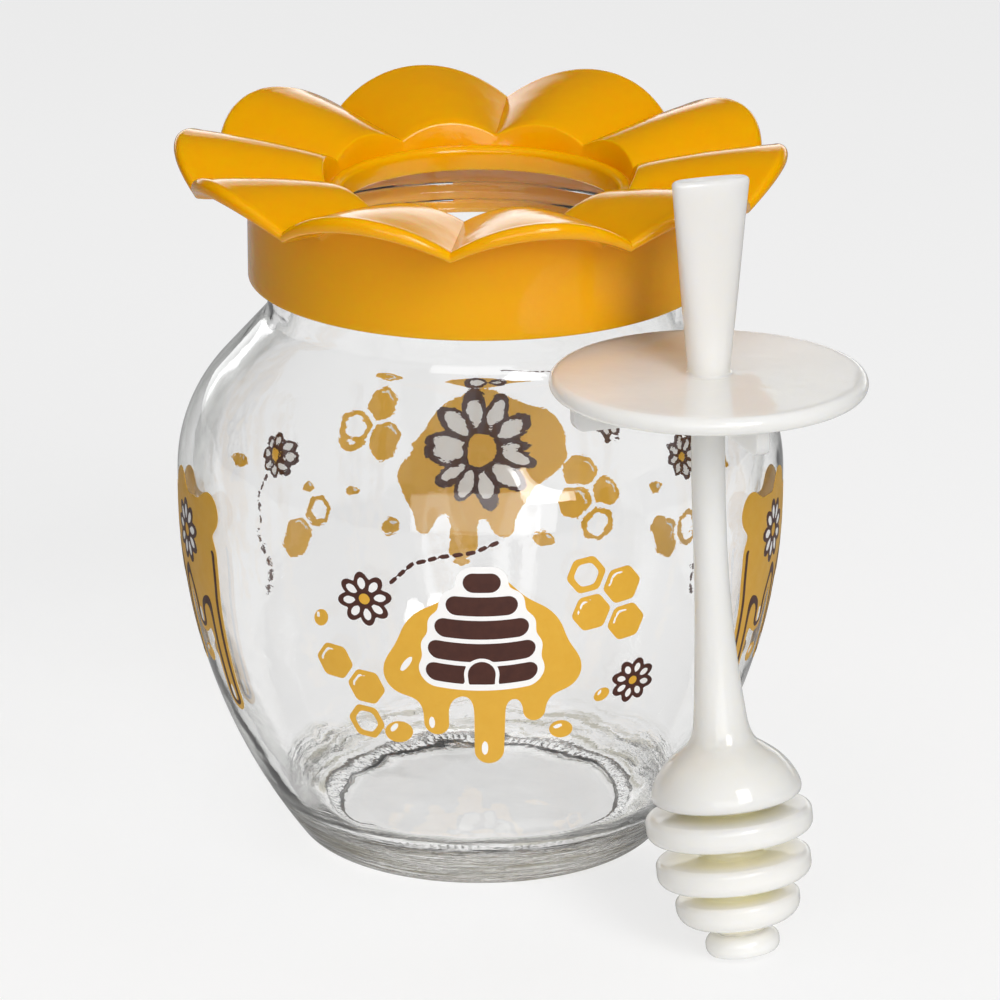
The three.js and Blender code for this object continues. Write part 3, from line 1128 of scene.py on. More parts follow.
@dataclass
class HoneyDipper:
    """White dipper: a ringed head, a bell, a bowed stem, a disc on fins and a flattened handle."""

    core_radius: float = 4.3
    tip: FlatRing = FlatRing(5.3, 3.2, 3.2, 1.5, 1.4)
    tip_core: float = 3.2
    tip_flat: float = 2.6
    tip_turn: float = -50.0
    rings: tuple[FlatRing, ...] = (
        FlatRing(8.9, 8.7, 3.9, 2.7, 0.7),
        FlatRing(11.05, 14.6, 3.8, 1.7, 0.9),
        FlatRing(11.9, 21.1, 3.7, 1.5, 1.0),
    )
    groove_round: float = 0.8
    # Depths over which the painted light in the grooves grows.
    groove_glow_reach: Pair = (0.8, 4.6)
    bell_side: tuple[Pair, ...] = (
        (9.9, 22.8), (10.55, 23.25), (10.7, 24.2), (10.2, 25.6), (9.3, 27.1), (8.0, 28.6),
        (6.4, 29.85), (4.85, 31.1), (4.0, 33.2), (3.6, 36.5),
    )
    stem_low: float = 3.6
    stem_high: float = 2.4
    stem_foot: float = 36.5
    stem_waist: float = 62.0
    disc_radius: float = 22.5
    disc_thickness: float = 2.6
    disc_height: float = 83.2
    fin_reach: float = 20.4
    fin_depth: float = 3.8
    fin_thickness: float = 1.9
    fin_corner: float = 1.5
    fin_side: float = 0.5
    handle_foot: float = 3.0
    handle_fillet: float = 0.5
    handle_width: float = 5.7
    handle_depth: float = 1.7
    handle_edge: float = 0.7
    handle_square: float = 2.6
    handle_squared: float = 0.6
    height: float = 112.7
    bow_top: float = 77.0
    bow_right: Bow = Bow(5.7, 1.75)
    bow_forward: Bow = Bow(7.6, 1.1)
    mould_turn: float = 20.0
    lean_back: float = 0.8
    taper_steps: int = 23
    stem_steps: int = 24
    handle_steps: int = 39
    turns: int = 112
    crease: float = 40.0

    def rim_profile(self, ring: FlatRing, core: float) -> np.ndarray:
        """Section of a ring, from the core below it to its upper edge.

        Args:
            ring: The ring.
            core: Radius of the core that the ring sits on.

        Returns:
            Points of the section.
        """
        low, root = ring.top - ring.thickness, self.groove_round
        low_centre = (ring.radius - ring.low_edge, low + ring.low_edge)
        high_centre = (ring.radius - ring.high_edge, ring.top - ring.high_edge)
        return chain(
            arc((core + root, low - root), root, 180, 90, 5),
            straight((core + root, low), (low_centre[0], low), 6),
            arc(low_centre, ring.low_edge, -90, 0, 9),
            arc(high_centre, ring.high_edge, 0, 90, 8),
        )

    def head_ring(self, ring: FlatRing) -> np.ndarray:
        """Section of one ring of the head.

        Args:
            ring: The ring.

        Returns:
            Points from the core below the ring to the core above it.
        """
        root, core = self.groove_round, self.core_radius
        return chain(
            self.rim_profile(ring, core),
            straight((ring.radius - ring.high_edge, ring.top), (core + root, ring.top), 6),
            arc((core + root, ring.top + root), root, 270, 180, 5),
        )

    def body_profile(self) -> np.ndarray:
        """Section of the head, the bell, the stem and the disc.

        Returns:
            Points from the middle of the tip up to the foot of the handle.
        """
        tip, root = self.tip, self.groove_round
        share = np.linspace(0, 1, self.taper_steps + 1)
        narrowing = np.column_stack((
            blend(self.stem_high, self.stem_low, (1 - share) ** 2),
            blend(self.stem_foot, self.stem_waist, share),
        ))
        rim = self.disc_thickness / 2
        high = self.disc_height + rim
        disc = FlatRing(self.disc_radius, high, self.disc_thickness, rim, rim)
        under = self.disc_height - rim - root
        foot = self.handle_foot + self.handle_fillet
        bell_low = self.bell_side[0][1]
        return chain(
            straight((0.0, 0.0), (self.tip_flat, 0.0), 4),
            arc((tip.radius - tip.low_edge, tip.low_edge), tip.low_edge, self.tip_turn, 0, 8),
            arc((tip.radius - tip.high_edge, tip.top - tip.high_edge), tip.high_edge, 0, 90, 8),
            (self.tip_core, tip.top),
            *[self.head_ring(ring) for ring in self.rings],
            arc((self.core_radius + root, bell_low - root), root, 180, 90, 5),
            straight((self.core_radius + root, bell_low), self.bell_side[0], 6),
            spline(self.bell_side, 4),
            narrowing,
            straight((self.stem_high, self.stem_waist), (self.stem_high, under), self.stem_steps),
            self.rim_profile(disc, self.stem_high),
            straight((self.disc_radius - rim, high), (foot, high), 14),
            arc((foot, high + self.handle_fillet), self.handle_fillet, 270, 180, 8),
        )

    def handle_rows(self) -> np.ndarray:
        """Rows of the handle.

        Returns:
            Half width, half depth, squareness and height of each row.
        """
        low = self.disc_height + self.disc_thickness / 2 + self.handle_fillet
        high = self.height - self.handle_edge
        share = np.linspace(0, 1, self.handle_steps + 1)[1:]
        width = blend(self.handle_foot, self.handle_width, share)
        depth = blend(self.handle_foot, self.handle_depth, smooth(share, 0.0, 1.0))
        square = blend(OVAL, self.handle_square, smooth(share, 0.0, self.handle_squared))
        sides = np.column_stack((width, depth, square, blend(low, high, share)))
        turn = np.linspace(0, math.pi / 2, 7)[1:]
        inset = self.handle_edge * (1 - np.cos(turn))
        rise = self.handle_edge * np.sin(turn)
        edge = np.column_stack((
            self.handle_width - inset, self.handle_depth - inset,
            np.full(len(turn), self.handle_square), high + rise,
        ))
        inward = np.linspace(1, 0, 5)[1:]
        top = np.column_stack((
            inward * edge[-1, 0], inward * edge[-1, 1],
            np.full(len(inward), self.handle_square), np.full(len(inward), self.height),
        ))
        return np.vstack((sides, edge, top))

    def fin_plate(self, turn: float) -> tuple[np.ndarray, list[list[int]]]:
        """One fin plate, which runs right through the stem under the disc.

        Args:
            turn: Its turn about the stem.

        Returns:
            Points and faces of the plate.
        """
        low = self.disc_height - self.disc_thickness / 2 - self.fin_depth
        corner, reach = self.fin_corner, self.fin_reach
        outline = np.vstack((
            (-reach, self.disc_height), (-reach, low + corner + self.fin_side),
            arc((-reach + corner, low + corner), corner, 180, 270, 6),
            arc((reach - corner, low + corner), corner, 270, 360, 6),
            (reach, low + corner + self.fin_side), (reach, self.disc_height),
        ))
        half = self.fin_thickness / 2
        count = len(outline)
        points = np.vstack([
            np.column_stack((outline[:, 0], np.full(count, side), outline[:, 1]))
            for side in (-half, half)
        ])
        cos, sin = math.cos(math.radians(turn)), math.sin(math.radians(turn))
        points = points @ np.array([[cos, sin, 0], [-sin, cos, 0], [0, 0, 1]])
        faces = [list(range(count)), list(range(2 * count - 1, count - 1, -1))]
        faces += [[i, i + count, (i + 1) % count + count, (i + 1) % count] for i in range(count)]
        return points, faces

    def painted_groove_light(self, rows: np.ndarray) -> np.ndarray:
        """How deep in a groove of the head each row lies, which sets how much painted light the
        finish lays there.

        Args:
            rows: Half width, half depth, squareness and height of each row.

        Returns:
            A value from 0 outside to 1 on the core.
        """
        bell_radius, bell_low = self.bell_side[0]
        outline = [(self.tip.radius, 0.0)]
        outline += [(ring.radius, ring.top - ring.thickness / 2) for ring in self.rings]
        outline += [(bell_radius, bell_low), (0.0, self.bell_side[1][1])]
        radii, heights = np.array(outline).T
        depth = np.interp(rows[:, 3], heights, radii) - rows[:, 0]
        above_tip = rows[:, 3] > self.tip.top
        return above_tip * smooth(depth, *self.groove_glow_reach)

    def settle(self, mesh: bpy.types.Mesh) -> None:
        """Turns, bows, leans and places a mesh that was made upright.

        Args:
            mesh: The dipper's mesh.
        """
        count = len(mesh.vertices)
        flat = np.empty(count * 3)
        mesh.vertices.foreach_get("co", flat)
        points = flat.reshape(-1, 3) / MM
        spin = np.array(Matrix.Rotation(math.radians(self.mould_turn), 3, "Z"))
        points = points @ spin.T
        below = np.maximum(0.0, 1 - points[:, 2] / self.bow_top)
        ways = ((0, 1.0, self.bow_right), (1, -1.0, self.bow_forward))
        slopes = [
            sign * bow.reach * bow.power / self.bow_top * below ** (bow.power - 1)
            for _, sign, bow in ways
        ]
        points[:, 2] += slopes[0] * points[:, 0] + slopes[1] * points[:, 1]
        for axis, sign, bow in ways:
            points[:, axis] += sign * bow.reach * below ** bow.power
        lean = np.array(Matrix.Rotation(math.radians(-self.lean_back), 3, "X"))
        points = points @ lean.T
        middle = (points.min(axis=0) + points.max(axis=0)) / 2
        goal = node_axis("dipper")
        points[:, 0] += goal[0] - middle[0]
        points[:, 1] += goal[1] - middle[1]
        points[:, 2] -= points[:, 2].min()
        mesh.vertices.foreach_set("co", (points * MM).ravel())
        mesh.update()

    def build(self, effects: SharedEffects) -> bpy.types.Object:
        """Makes the dipper.

        Args:
            effects: The shared shader groups.

        Returns:
            The dipper's piece.
        """
        body = self.body_profile()
        rounds = np.column_stack((body[:, 0], body[:, 0], np.full(len(body), OVAL), body[:, 1]))
        rows = np.vstack((rounds, self.handle_rows()))
        azimuth = np.linspace(0, 2 * math.pi, self.turns, endpoint=False)[:, None]
        cos, sin = np.cos(azimuth), np.sin(azimuth)
        power = OVAL / rows[None, :, 2]
        grid = np.stack((
            rows[None, :, 0] * np.sign(cos) * np.abs(cos) ** power,
            rows[None, :, 1] * np.sign(sin) * np.abs(sin) ** power,
            np.repeat(rows[None, :, 3], self.turns, axis=0),
        ), axis=-1)
        points, faces = skin(grid, loop=False)
        # The groove depth carries the painted light in the grooves to the finish.
        groove = np.repeat(self.painted_groove_light(rows)[None, :], self.turns, axis=0).ravel()
        mesh = make_mesh("dipper_skin", points, faces, {"groove": groove})
        piece = make_piece("dipper_skin", mesh, self.crease)
        for turn in (0.0, 90.0):
            self.join(piece, make_mesh("fin", *self.fin_plate(turn)))
        self.settle(piece.data)
        piece.data.shade_smooth()
        piece.data.set_sharp_from_angle(angle=math.radians(self.crease))
        return dress(piece, DipperPlastic().material(effects), Slot.DIPPER, "dipper")

    @staticmethod
    def join(piece: bpy.types.Object, mesh: bpy.types.Mesh) -> None:
        """Joins a closed mesh to a piece, so that both are one solid.

        Args:
            piece: The piece that grows.
            mesh: The mesh that it takes in.
        """
        other = bpy.data.objects.new("joining", mesh)
        bpy.context.scene.collection.objects.link(other)
        union = piece.modifiers.new("union", "BOOLEAN")
        union.operation = "UNION"
        union.solver = "EXACT"
        union.object = other
        bpy.context.view_layer.update()
        whole = piece.evaluated_get(bpy.context.evaluated_depsgraph_get())
        joined = bpy.data.meshes.new_from_object(whole)
        piece.modifiers.clear()
        piece.data = joined
        bpy.data.objects.remove(other)


@dataclass(frozen=True)
class MotifSizes:
    """Proportions of the printed motifs: shares of a motif's size, and lines in millimetres."""

    drop_width: float = 0.76
    gleam_aside: float = 0.3
    gleam_long: float = 0.42
    gleam_short: float = 0.17
    gleam_turn: float = 30.0
    cell_corner: float = 0.5
    cell_inset: float = 0.72
    cell_gleam: Pair = (-0.62, 0.6)
    cell_gleam_reach: float = 0.66
    cell_gleam_half: float = 0.16
    bare_cell_half: float = 0.45
    daisy_line: float = 0.2
    daisy_line_growth: float = 0.018
    petal_middle: float = 0.64
    petal_long: float = 0.36
    petal_girth: float = 1.85
    eye: float = 0.3
    trail_points: int = 60
    trail_step: int = 6
    trail_dash: int = 3
    trail_half: float = 0.3
    rope_gap: float = 0.7
    rope_sag: float = 0.012
    hive_flow: float = 1.5
    hive_border: float = 1.0
    door_half: float = 1.9
    door_rise: float = 0.3
    door_drop: float = 2.0
    door_flow: float = 0.4
    door_border: float = 0.55


class InkSheet:
    """A flat sheet of ink shapes, in millimetres on the unrolled glass."""

    SIZES = MotifSizes()

    def __init__(self, half_width: float, half_height: float, pitch: float = 0.35) -> None:
        """Starts a bare sheet.

        Args:
            half_width: Half of the sheet's width.
            half_height: Half of its height.
            pitch: Spacing of its grid.
        """
        across = np.arange(-half_width, half_width + pitch, pitch)
        up = np.arange(-half_height, half_height + pitch, pitch)
        self.x, self.y = np.meshgrid(across, up, indexing="ij")
        self.inks = {ink: np.full(self.x.shape, FAR) for ink in Ink}

    def disc(self, x: float, y: float, radius: float) -> np.ndarray:
        """Distance to a disc."""
        return np.hypot(self.x - x, self.y - y) - radius

    def oval(self, x: float, y: float, long: float, short: float, turn: float) -> np.ndarray:
        """Rough distance to an oval.

        Args:
            x: Its middle.
            y: Its middle.
            long: Half of its length.
            short: Half of its width.
            turn: Turn of its length from the right.

        Returns:
            The distance, negative inside.
        """
        cos, sin = math.cos(math.radians(turn)), math.sin(math.radians(turn))
        along = (self.x - x) * cos + (self.y - y) * sin
        aside = (self.y - y) * cos - (self.x - x) * sin
        return (np.hypot(along / long, aside / short) - 1) * min(long, short)

    def stroke(self, start: Pair, end: Pair, radius: float, sag: float = 0.0) -> np.ndarray:
        """Distance to a stroke with round ends.

        Args:
            start: Its first end.
            end: Its last end.
            radius: Half of its width.
            sag: How far its ends rise over its middle, for each squared millimetre.

        Returns:
            The distance, negative inside.
        """
        line = np.subtract(end, start)
        middle = (start[0] + end[0]) / 2
        x, y = self.x - start[0], self.y - start[1] - sag * (self.x - middle) ** 2
        share = np.clip((x * line[0] + y * line[1]) / max(line @ line, 1e-9), 0, 1)
        return np.hypot(x - share * line[0], y - share * line[1]) - radius

    def hexagon(self, x: float, y: float, reach: float, turn: float = 0.0) -> np.ndarray:
        """Distance to a hexagon with soft corners.

        Args:
            x: Its middle.
            y: Its middle.
            reach: Half of its width over the flats.
            turn: Its turn.

        Returns:
            The distance, negative inside.
        """
        angle = math.radians(turn)
        across = (self.x - x) * math.cos(angle) + (self.y - y) * math.sin(angle)
        up = (self.y - y) * math.cos(angle) - (self.x - x) * math.sin(angle)
        flats = [
            np.abs(across * math.sin(math.radians(60 * i)) + up * math.cos(math.radians(60 * i)))
            for i in range(3)
        ]
        return self.pooled(flats, -self.SIZES.cell_corner) - reach

    @staticmethod
    def pooled(fields: Sequence[np.ndarray], softness: float) -> np.ndarray:
        """Soft union of fields, or their soft overlap where softness is negative.

        Args:
            fields: The fields to join.
            softness: How far the shapes flow into each other.

        Returns:
            The joined field.
        """
        side = math.copysign(1.0, softness)
        width = abs(softness)
        whole = side * fields[0]
        for field in fields[1:]:
            other = side * field
            share = np.clip(0.5 + 0.5 * (other - whole) / width, 0, 1)
            whole = blend(other, whole, share) - width * share * (1 - share)
        return side * whole

    def lay(self, ink: Ink, *fields: np.ndarray) -> None:
        """Prints shapes in an ink."""
        self.inks[ink] = np.minimum.reduce([self.inks[ink], *fields])

    def spare(self, ink: Ink, field: np.ndarray) -> None:
        """Leaves a shape free of an ink."""
        self.inks[ink] = np.maximum(self.inks[ink], -field)

    def drop(self, x: float, y: float, size: float, turn: float = 0.0) -> None:
        """Prints a drop of honey with a gleam on it.

        Args:
            x: Its middle.
            y: Its middle.
            size: Half of its length.
            turn: Turn of its length from the right.
        """
        share = self.SIZES
        self.lay(Ink.AMBER, self.oval(x, y, size, size * share.drop_width, turn))
        aside = share.gleam_aside * size
        self.lay(Ink.WHITE, self.oval(
            x - aside, y + aside, size * share.gleam_long, size * share.gleam_short,
            turn + share.gleam_turn,
        ))

    def cell(self, x: float, y: float, reach: float, turn: float, full: bool) -> None:
        """Prints a cell of honeycomb.

        Args:
            x: Its middle.
            y: Its middle.
            reach: Half of its width over the flats.
            turn: Its turn.
            full: Whether it holds honey, or is only an outline.
        """
        share = self.SIZES
        cell = self.hexagon(x, y, reach, turn)
        if not full:
            half = share.bare_cell_half
            self.lay(Ink.AMBER, np.abs(cell + half) - half)
            return
        self.lay(Ink.AMBER, cell)
        inset = self.hexagon(x, y, reach * share.cell_inset, turn)
        aside, up = share.cell_gleam
        corner = self.disc(x + reach * aside, y + reach * up, reach * share.cell_gleam_reach)
        self.lay(Ink.WHITE, np.maximum(np.abs(inset) - share.cell_gleam_half, corner))

    def daisy(self, x: float, y: float, size: float, petals: int, turn: float) -> None:
        """Prints a daisy.

        Args:
            x: Its middle.
            y: Its middle.
            size: Its radius.
            petals: Number of petals.
            turn: Turn of its first petal.
        """
        share = self.SIZES
        line = share.daisy_line + share.daisy_line_growth * size
        out = share.petal_middle * size
        for number in range(petals):
            angle = turn + 360 * number / petals
            middle = (x + out * math.cos(math.radians(angle)),
                      y + out * math.sin(math.radians(angle)))
            petal = self.oval(*middle, share.petal_long * size,
                              share.petal_girth * size / petals, angle)
            self.lay(Ink.WHITE, petal - line)
            self.lay(Ink.BROWN, np.abs(petal) - line)
        eye = self.disc(x, y, share.eye * size)
        self.spare(Ink.BROWN, eye - line)
        self.spare(Ink.WHITE, eye)
        self.lay(Ink.BROWN, np.abs(eye) - line)
        self.lay(Ink.AMBER, eye)

    def trail(self, points: Sequence[Pair]) -> None:
        """Prints a dashed line.

        Args:
            points: Points that the line runs through.
        """
        share = self.SIZES
        path = np.array(points, float)
        along = np.linspace(0, len(path) - 1, share.trail_points)
        numbers = np.arange(len(path))
        line = np.column_stack([np.interp(along, numbers, path[:, i]) for i in (0, 1)])
        for first in range(0, share.trail_points - share.trail_dash, share.trail_step):
            start, end = line[first], line[first + share.trail_dash]
            self.lay(Ink.BROWN, self.stroke(tuple(start), tuple(end), share.trail_half))

    def skep(self, x: float, y: float, widths: Sequence[float], rope: float) -> None:
        """Prints a straw hive of coiled rope.

        Args:
            x: Middle of its lowest coil.
            y: Middle of its lowest coil.
            widths: Half length of each coil from the lowest up.
            rope: Half thickness of the rope.
        """
        share = self.SIZES
        step = 2 * rope + share.rope_gap
        coils = [
            self.stroke((x - half, y + i * step), (x + half, y + i * step), rope, share.rope_sag)
            for i, half in enumerate(widths)
        ]
        self.lay(Ink.WHITE, self.pooled(coils, share.hive_flow) - share.hive_border)
        self.lay(Ink.BROWN, *coils)
        door = self.pooled([
            self.disc(x, y + share.door_rise, share.door_half),
            self.stroke((x, y - share.door_drop), (x, y), share.door_half),
        ], share.door_flow)
        self.spare(Ink.BROWN, door - share.door_border)
        self.lay(Ink.BROWN, np.maximum(door, y - rope - self.y))

    def filled(self, ink: Ink) -> tuple[np.ndarray, list[list[int]]]:
        """Outlines of one ink, filled with faces.

        Args:
            ink: The ink.

        Returns:
            Points on the flat sheet, and the faces that they make.
        """
        field = self.inks[ink]
        solid = field < 0
        points: list[Pair] = []
        numbers: dict[tuple, int] = {}

        def number(key: tuple) -> int:
            """Number of a grid point or of a crossing on a grid edge.

            Args:
                key: The grid point, or both grid points of the edge.

            Returns:
                The number of the point, which is added if it is new.
            """
            if key not in numbers:
                i, j = key[:2]
                share = 0.0
                k, m = (key[2], key[3]) if len(key) == 4 else (i, j)
                if len(key) == 4:
                    share = field[i, j] / (field[i, j] - field[k, m])
                points.append((blend(self.x[i, j], self.x[k, m], share),
                               blend(self.y[i, j], self.y[k, m], share)))
                numbers[key] = len(points) - 1
            return numbers[key]

        faces = []
        touched = solid[:-1, :-1] | solid[1:, :-1] | solid[1:, 1:] | solid[:-1, 1:]
        for i, j in np.argwhere(touched):
            corners = [(i, j), (i + 1, j), (i + 1, j + 1), (i, j + 1)]
            face = []
            for one, two in zip(corners, corners[1:] + corners[:1]):
                if solid[one]:
                    face.append(number(one))
                if solid[one] != solid[two]:
                    face.append(number((*min(one, two), *max(one, two))))
            if len(face) > 2:
                faces.append(face)
        return np.array(points), faces


@dataclass
class GlassPrint:
    """Print round the belly: honeycomb, drips, daisies and straw hives in three inks."""

    jar: GlassJar
    middle: float = 42.0
    reach: float = 44.0
    drip_azimuth: float = 74.0
    sprig_azimuth: float = 128.0
    comb_reach: float = 2.6
    comb_pitch: float = 5.9
    crease: float = 50.0

    AMBER = PrintInk("amber_ink", (0.98, 0.56, 0.05), (0.93, 0.49, 0.03), 0.5, 0.32)
    WHITE = PrintInk("white_ink", (0.99, 0.985, 0.97), (0.98, 0.95, 0.92), 0.5, 0.05)
    BROWN = PrintInk("brown_ink", (0.085, 0.022, 0.012), (0.05, 0.012, 0.008), 0.6, 0.1)

    def lay_comb(self, sheet: InkSheet, origin: Pair, steps: Sequence[tuple[int, int, bool]],
                 turn: float) -> None:
        """Prints honeycomb cells that share one lattice.

        Args:
            sheet: The sheet to print on.
            origin: Middle of the first cell.
            steps: Lattice steps of each cell, and whether it is full.
            turn: Turn of the lattice.
        """
        first, second = math.radians(turn + 90), math.radians(turn + 30)
        for a, b, full in steps:
            x = origin[0] + self.comb_pitch * (a * math.cos(first) + b * math.cos(second))
            y = origin[1] + self.comb_pitch * (a * math.sin(first) + b * math.sin(second))
            sheet.cell(x, y, self.comb_reach, turn, full)

    def hive_sheet(self) -> InkSheet:
        """Front of the print: a straw hive in a pool of honey.

        Returns:
            The sheet.
        """
        sheet = InkSheet(29.0, 19.5)
        pool = sheet.pooled([
            sheet.disc(-4.5, 1.5, 7.2), sheet.disc(5.0, 2.0, 7.4), sheet.disc(0.5, 8.5, 5.0),
            sheet.disc(-10.5, -2.5, 3.6), sheet.disc(11.5, -2.0, 3.4),
            sheet.stroke((-6.5, -3.0), (-6.5, -10.5), 1.9),
            sheet.stroke((1.5, -3.0), (1.5, -15.0), 2.3),
            sheet.stroke((8.2, -3.0), (8.2, -8.5), 1.6),
        ], 3.2)
        sheet.lay(Ink.AMBER, pool)
        sheet.skep(0.3, -2.4, (6.6, 6.2, 5.2, 3.6, 1.2), 1.45)
        sheet.lay(Ink.WHITE, sheet.oval(-10.6, -1.0, 1.5, 0.45, 55),
                  sheet.oval(0.8, -14.6, 0.5, 1.2, 0), sheet.oval(-7.2, -10.4, 0.45, 1.0, 0))
        self.lay_comb(sheet, (16.0, 6.5), (
            (0, 0, FULL), (1, 0, BARE), (0, 1, FULL), (-1, 1, FULL), (1, -2, FULL),
        ), 8.0)
        self.lay_comb(sheet, (-17.0, -5.5), ((0, 0, FULL), (1, -1, FULL), (-1, 0, BARE)), -6.0)
        sheet.drop(-12.5, -12.5, 2.3, 20)
        sheet.drop(12.5, -12.0, 1.9, -15)
        sheet.drop(18.5, -7.0, 1.3, 30)
        sheet.drop(-23.5, 4.5, 1.4, 60)
        sheet.daisy(-16.5, 8.5, 3.7, 8, 10)
        sheet.trail([(-12.5, 11.5), (-9.5, 14.5), (-5.5, 15.8), (-1.0, 16.5), (3.0, 18.2)])
        sheet.daisy(23.5, -5.5, 3.2, 8, 30)
        return sheet

    def flower_sheet(self) -> InkSheet:
        """Back of the print: a large daisy on honey and comb.

        Returns:
            The sheet.
        """
        sheet = InkSheet(29.0, 19.5)
        pool = sheet.pooled([
            sheet.disc(0.0, 2.0, 9.5), sheet.disc(8.0, -1.0, 5.0), sheet.disc(-8.5, 4.0, 5.0),
            sheet.stroke((3.0, -4.0), (3.0, -13.0), 2.2),
            sheet.stroke((-4.0, -4.0), (-4.0, -9.5), 1.8),
            sheet.stroke((9.5, -3.0), (9.5, -9.0), 1.6),
        ], 3.4)
        sheet.lay(Ink.AMBER, pool)
        sheet.daisy(0.0, 2.5, 8.6, 10, 6)
        self.lay_comb(sheet, (-15.5, -5.0), (
            (0, 0, FULL), (1, -1, FULL), (0, -1, BARE), (1, 0, FULL),
        ), 4.0)
        self.lay_comb(sheet, (15.5, 5.0), ((0, 0, FULL), (1, 0, FULL), (0, 1, BARE)), -5.0)
        sheet.drop(-10.5, -11.5, 2.0, 15)
        sheet.drop(16.0, -9.0, 1.7, -20)
        sheet.drop(21.5, -2.5, 1.2, 0)
        sheet.daisy(-20.5, 9.5, 3.2, 8, 0)
        sheet.trail([(-16.5, 12.5), (-12.0, 14.5), (-7.0, 14.2), (-3.0, 16.0)])
        return sheet

    def drip_sheet(self, side: int) -> InkSheet:
        """Sides of the print: a curtain of honey with a brown shade line.

        Args:
            side: 1 or -1, which way the curtain leans.

        Returns:
            The sheet.
        """
        sheet = InkSheet(17.0, 20.0)
        curtain = sheet.pooled([
            sheet.disc(-9.0 * side, 9.5, 3.4), sheet.disc(-3.0 * side, 14.0, 3.6),
            sheet.disc(4.0 * side, 11.0, 4.4), sheet.disc(9.5 * side, 14.5, 3.0),
            sheet.disc(-4.0 * side, 6.5, 5.0), sheet.disc(4.5 * side, 5.0, 6.0),
            sheet.stroke((-9.5 * side, 10.0), (-9.5 * side, 0.5), 2.0),
            sheet.stroke((-3.5 * side, 6.0), (-3.5 * side, -10.5), 2.2),
            sheet.stroke((3.5 * side, 4.0), (3.5 * side, -3.5), 2.4),
            sheet.stroke((9.5 * side, 8.0), (9.5 * side, -14.5), 2.3),
        ], 3.0)
        sheet.lay(Ink.AMBER, curtain)
        shade = np.maximum(np.abs(curtain + 1.1) - 0.32, sheet.y - 9.0)
        sheet.lay(Ink.BROWN, np.maximum(shade, -side * (sheet.x + 0.12 * sheet.y) - 12.0))
        sheet.lay(Ink.WHITE, sheet.oval(3.2 * side, -3.4, 0.5, 1.3, 0),
                  sheet.oval(-3.9 * side, -10.0, 0.45, 1.2, 0),
                  sheet.oval(9.2 * side, -14.0, 0.45, 1.3, 0))
        sheet.daisy(0.5 * side, 9.0, 4.4, 9, 15)
        sheet.drop(3.0 * side, -9.5, 1.8, 10)
        sheet.drop(-9.0 * side, -5.5, 1.5, 80)
        return sheet

    def sprig_sheet(self, side: int) -> InkSheet:
        """Between the large motifs: a daisy, a trail and some comb.

        Args:
            side: 1 or -1, which way the trail runs.

        Returns:
            The sheet.
        """
        sheet = InkSheet(15.0, 19.0)
        sheet.daisy(-4.0 * side, 6.5, 3.6, 8, 20)
        sheet.trail([(-0.5 * side, 3.5), (3.5 * side, 1.0), (5.5 * side, -4.0),
                     (2.5 * side, -9.5), (4.5 * side, -14.5)])
        self.lay_comb(sheet, (-6.0 * side, -7.5), ((0, 0, FULL), (1, -1, BARE)), 3.0)
        sheet.drop(7.0 * side, 8.5, 1.7, 40)
        sheet.drop(-9.5 * side, 0.0, 1.3, 10)
        return sheet

    def build(self, effects: SharedEffects) -> list[bpy.types.Object]:
        """Makes one closed film of each ink.

        Args:
            effects: The shared shader groups.

        Returns:
            The three films.
        """
        sheets = [
            (0.0, self.hive_sheet()), (180.0, self.flower_sheet()),
            (-self.drip_azimuth, self.drip_sheet(1)), (self.drip_azimuth, self.drip_sheet(-1)),
            (-self.sprig_azimuth, self.sprig_sheet(1)),
            (self.sprig_azimuth, self.sprig_sheet(-1)),
        ]
        finishes = {
            Ink.AMBER: (self.AMBER, Slot.AMBER_INK),
            Ink.WHITE: (self.WHITE, Slot.WHITE_INK),
            Ink.BROWN: (self.BROWN, Slot.BROWN_INK),
        }
        return [
            dress(self.film(sheets, ink), finish.material(effects), slot)
            for ink, (finish, slot) in finishes.items()
        ]

    def film(self, sheets: Sequence[tuple[float, InkSheet]], ink: Ink) -> bpy.types.Object:
        """Wraps one ink of every sheet on the glass as a thin closed film.

        Args:
            sheets: Azimuth of each sheet's middle, and the sheet.
            ink: The ink.

        Returns:
            The film's piece.
        """
        points: list[np.ndarray] = []
        faces: list[list[int]] = []
        count = 0
        for azimuth, sheet in sheets:
            flat, cells = sheet.filled(ink)
            angle = math.radians(azimuth) + flat[:, 0] / self.reach
            height = self.middle + flat[:, 1]
            outer = self.jar.outside_at(angle, height, ink.value)
            inner = self.jar.outside_at(angle, height, -ink.value)
            points += [outer, inner]
            size = len(flat)
            edges = {(a, b) for cell in cells for a, b in zip(cell, cell[1:] + cell[:1])}
            faces += [[count + a for a in cell] for cell in cells]
            faces += [[count + size + a for a in reversed(cell)] for cell in cells]
            faces += [
                [count + b, count + a, count + size + a, count + size + b]
                for a, b in sorted(edges) if (b, a) not in edges
            ]
            count += 2 * size
        name = f"{ink.name.lower()}_print"
        return make_piece(name, make_mesh(name, np.vstack(points), faces), self.crease)


@dataclass(frozen=True)
class SoftBox:
    """A large soft lamp."""

    name: str
    place: tuple[float, float, float]
    size: Pair
    power: float
    mirrored: bool = True
    aim: tuple[float, float, float] = (0.0, 0.0, 60.0)
    colour: Colour = (1.0, 1.0, 1.0)

    def build(self) -> bpy.types.Object:
        """Makes the lamp and aims it.

        Returns:
            The lamp.
        """
        lamp = bpy.data.lights.new(self.name, "AREA")
        lamp.shape = "RECTANGLE"
        lamp.size, lamp.size_y = self.size[0] * MM, self.size[1] * MM
        lamp.energy = self.power
        lamp.color = self.colour
        box = bpy.data.objects.new(self.name, lamp)
        box.visible_glossy = self.mirrored
        box.location = Vector(self.place) * MM
        way = (Vector(self.aim) - Vector(self.place)).normalized()
        box.rotation_euler = way.to_track_quat("-Z", "Y").to_euler()
        bpy.context.scene.collection.objects.link(box)
        return box


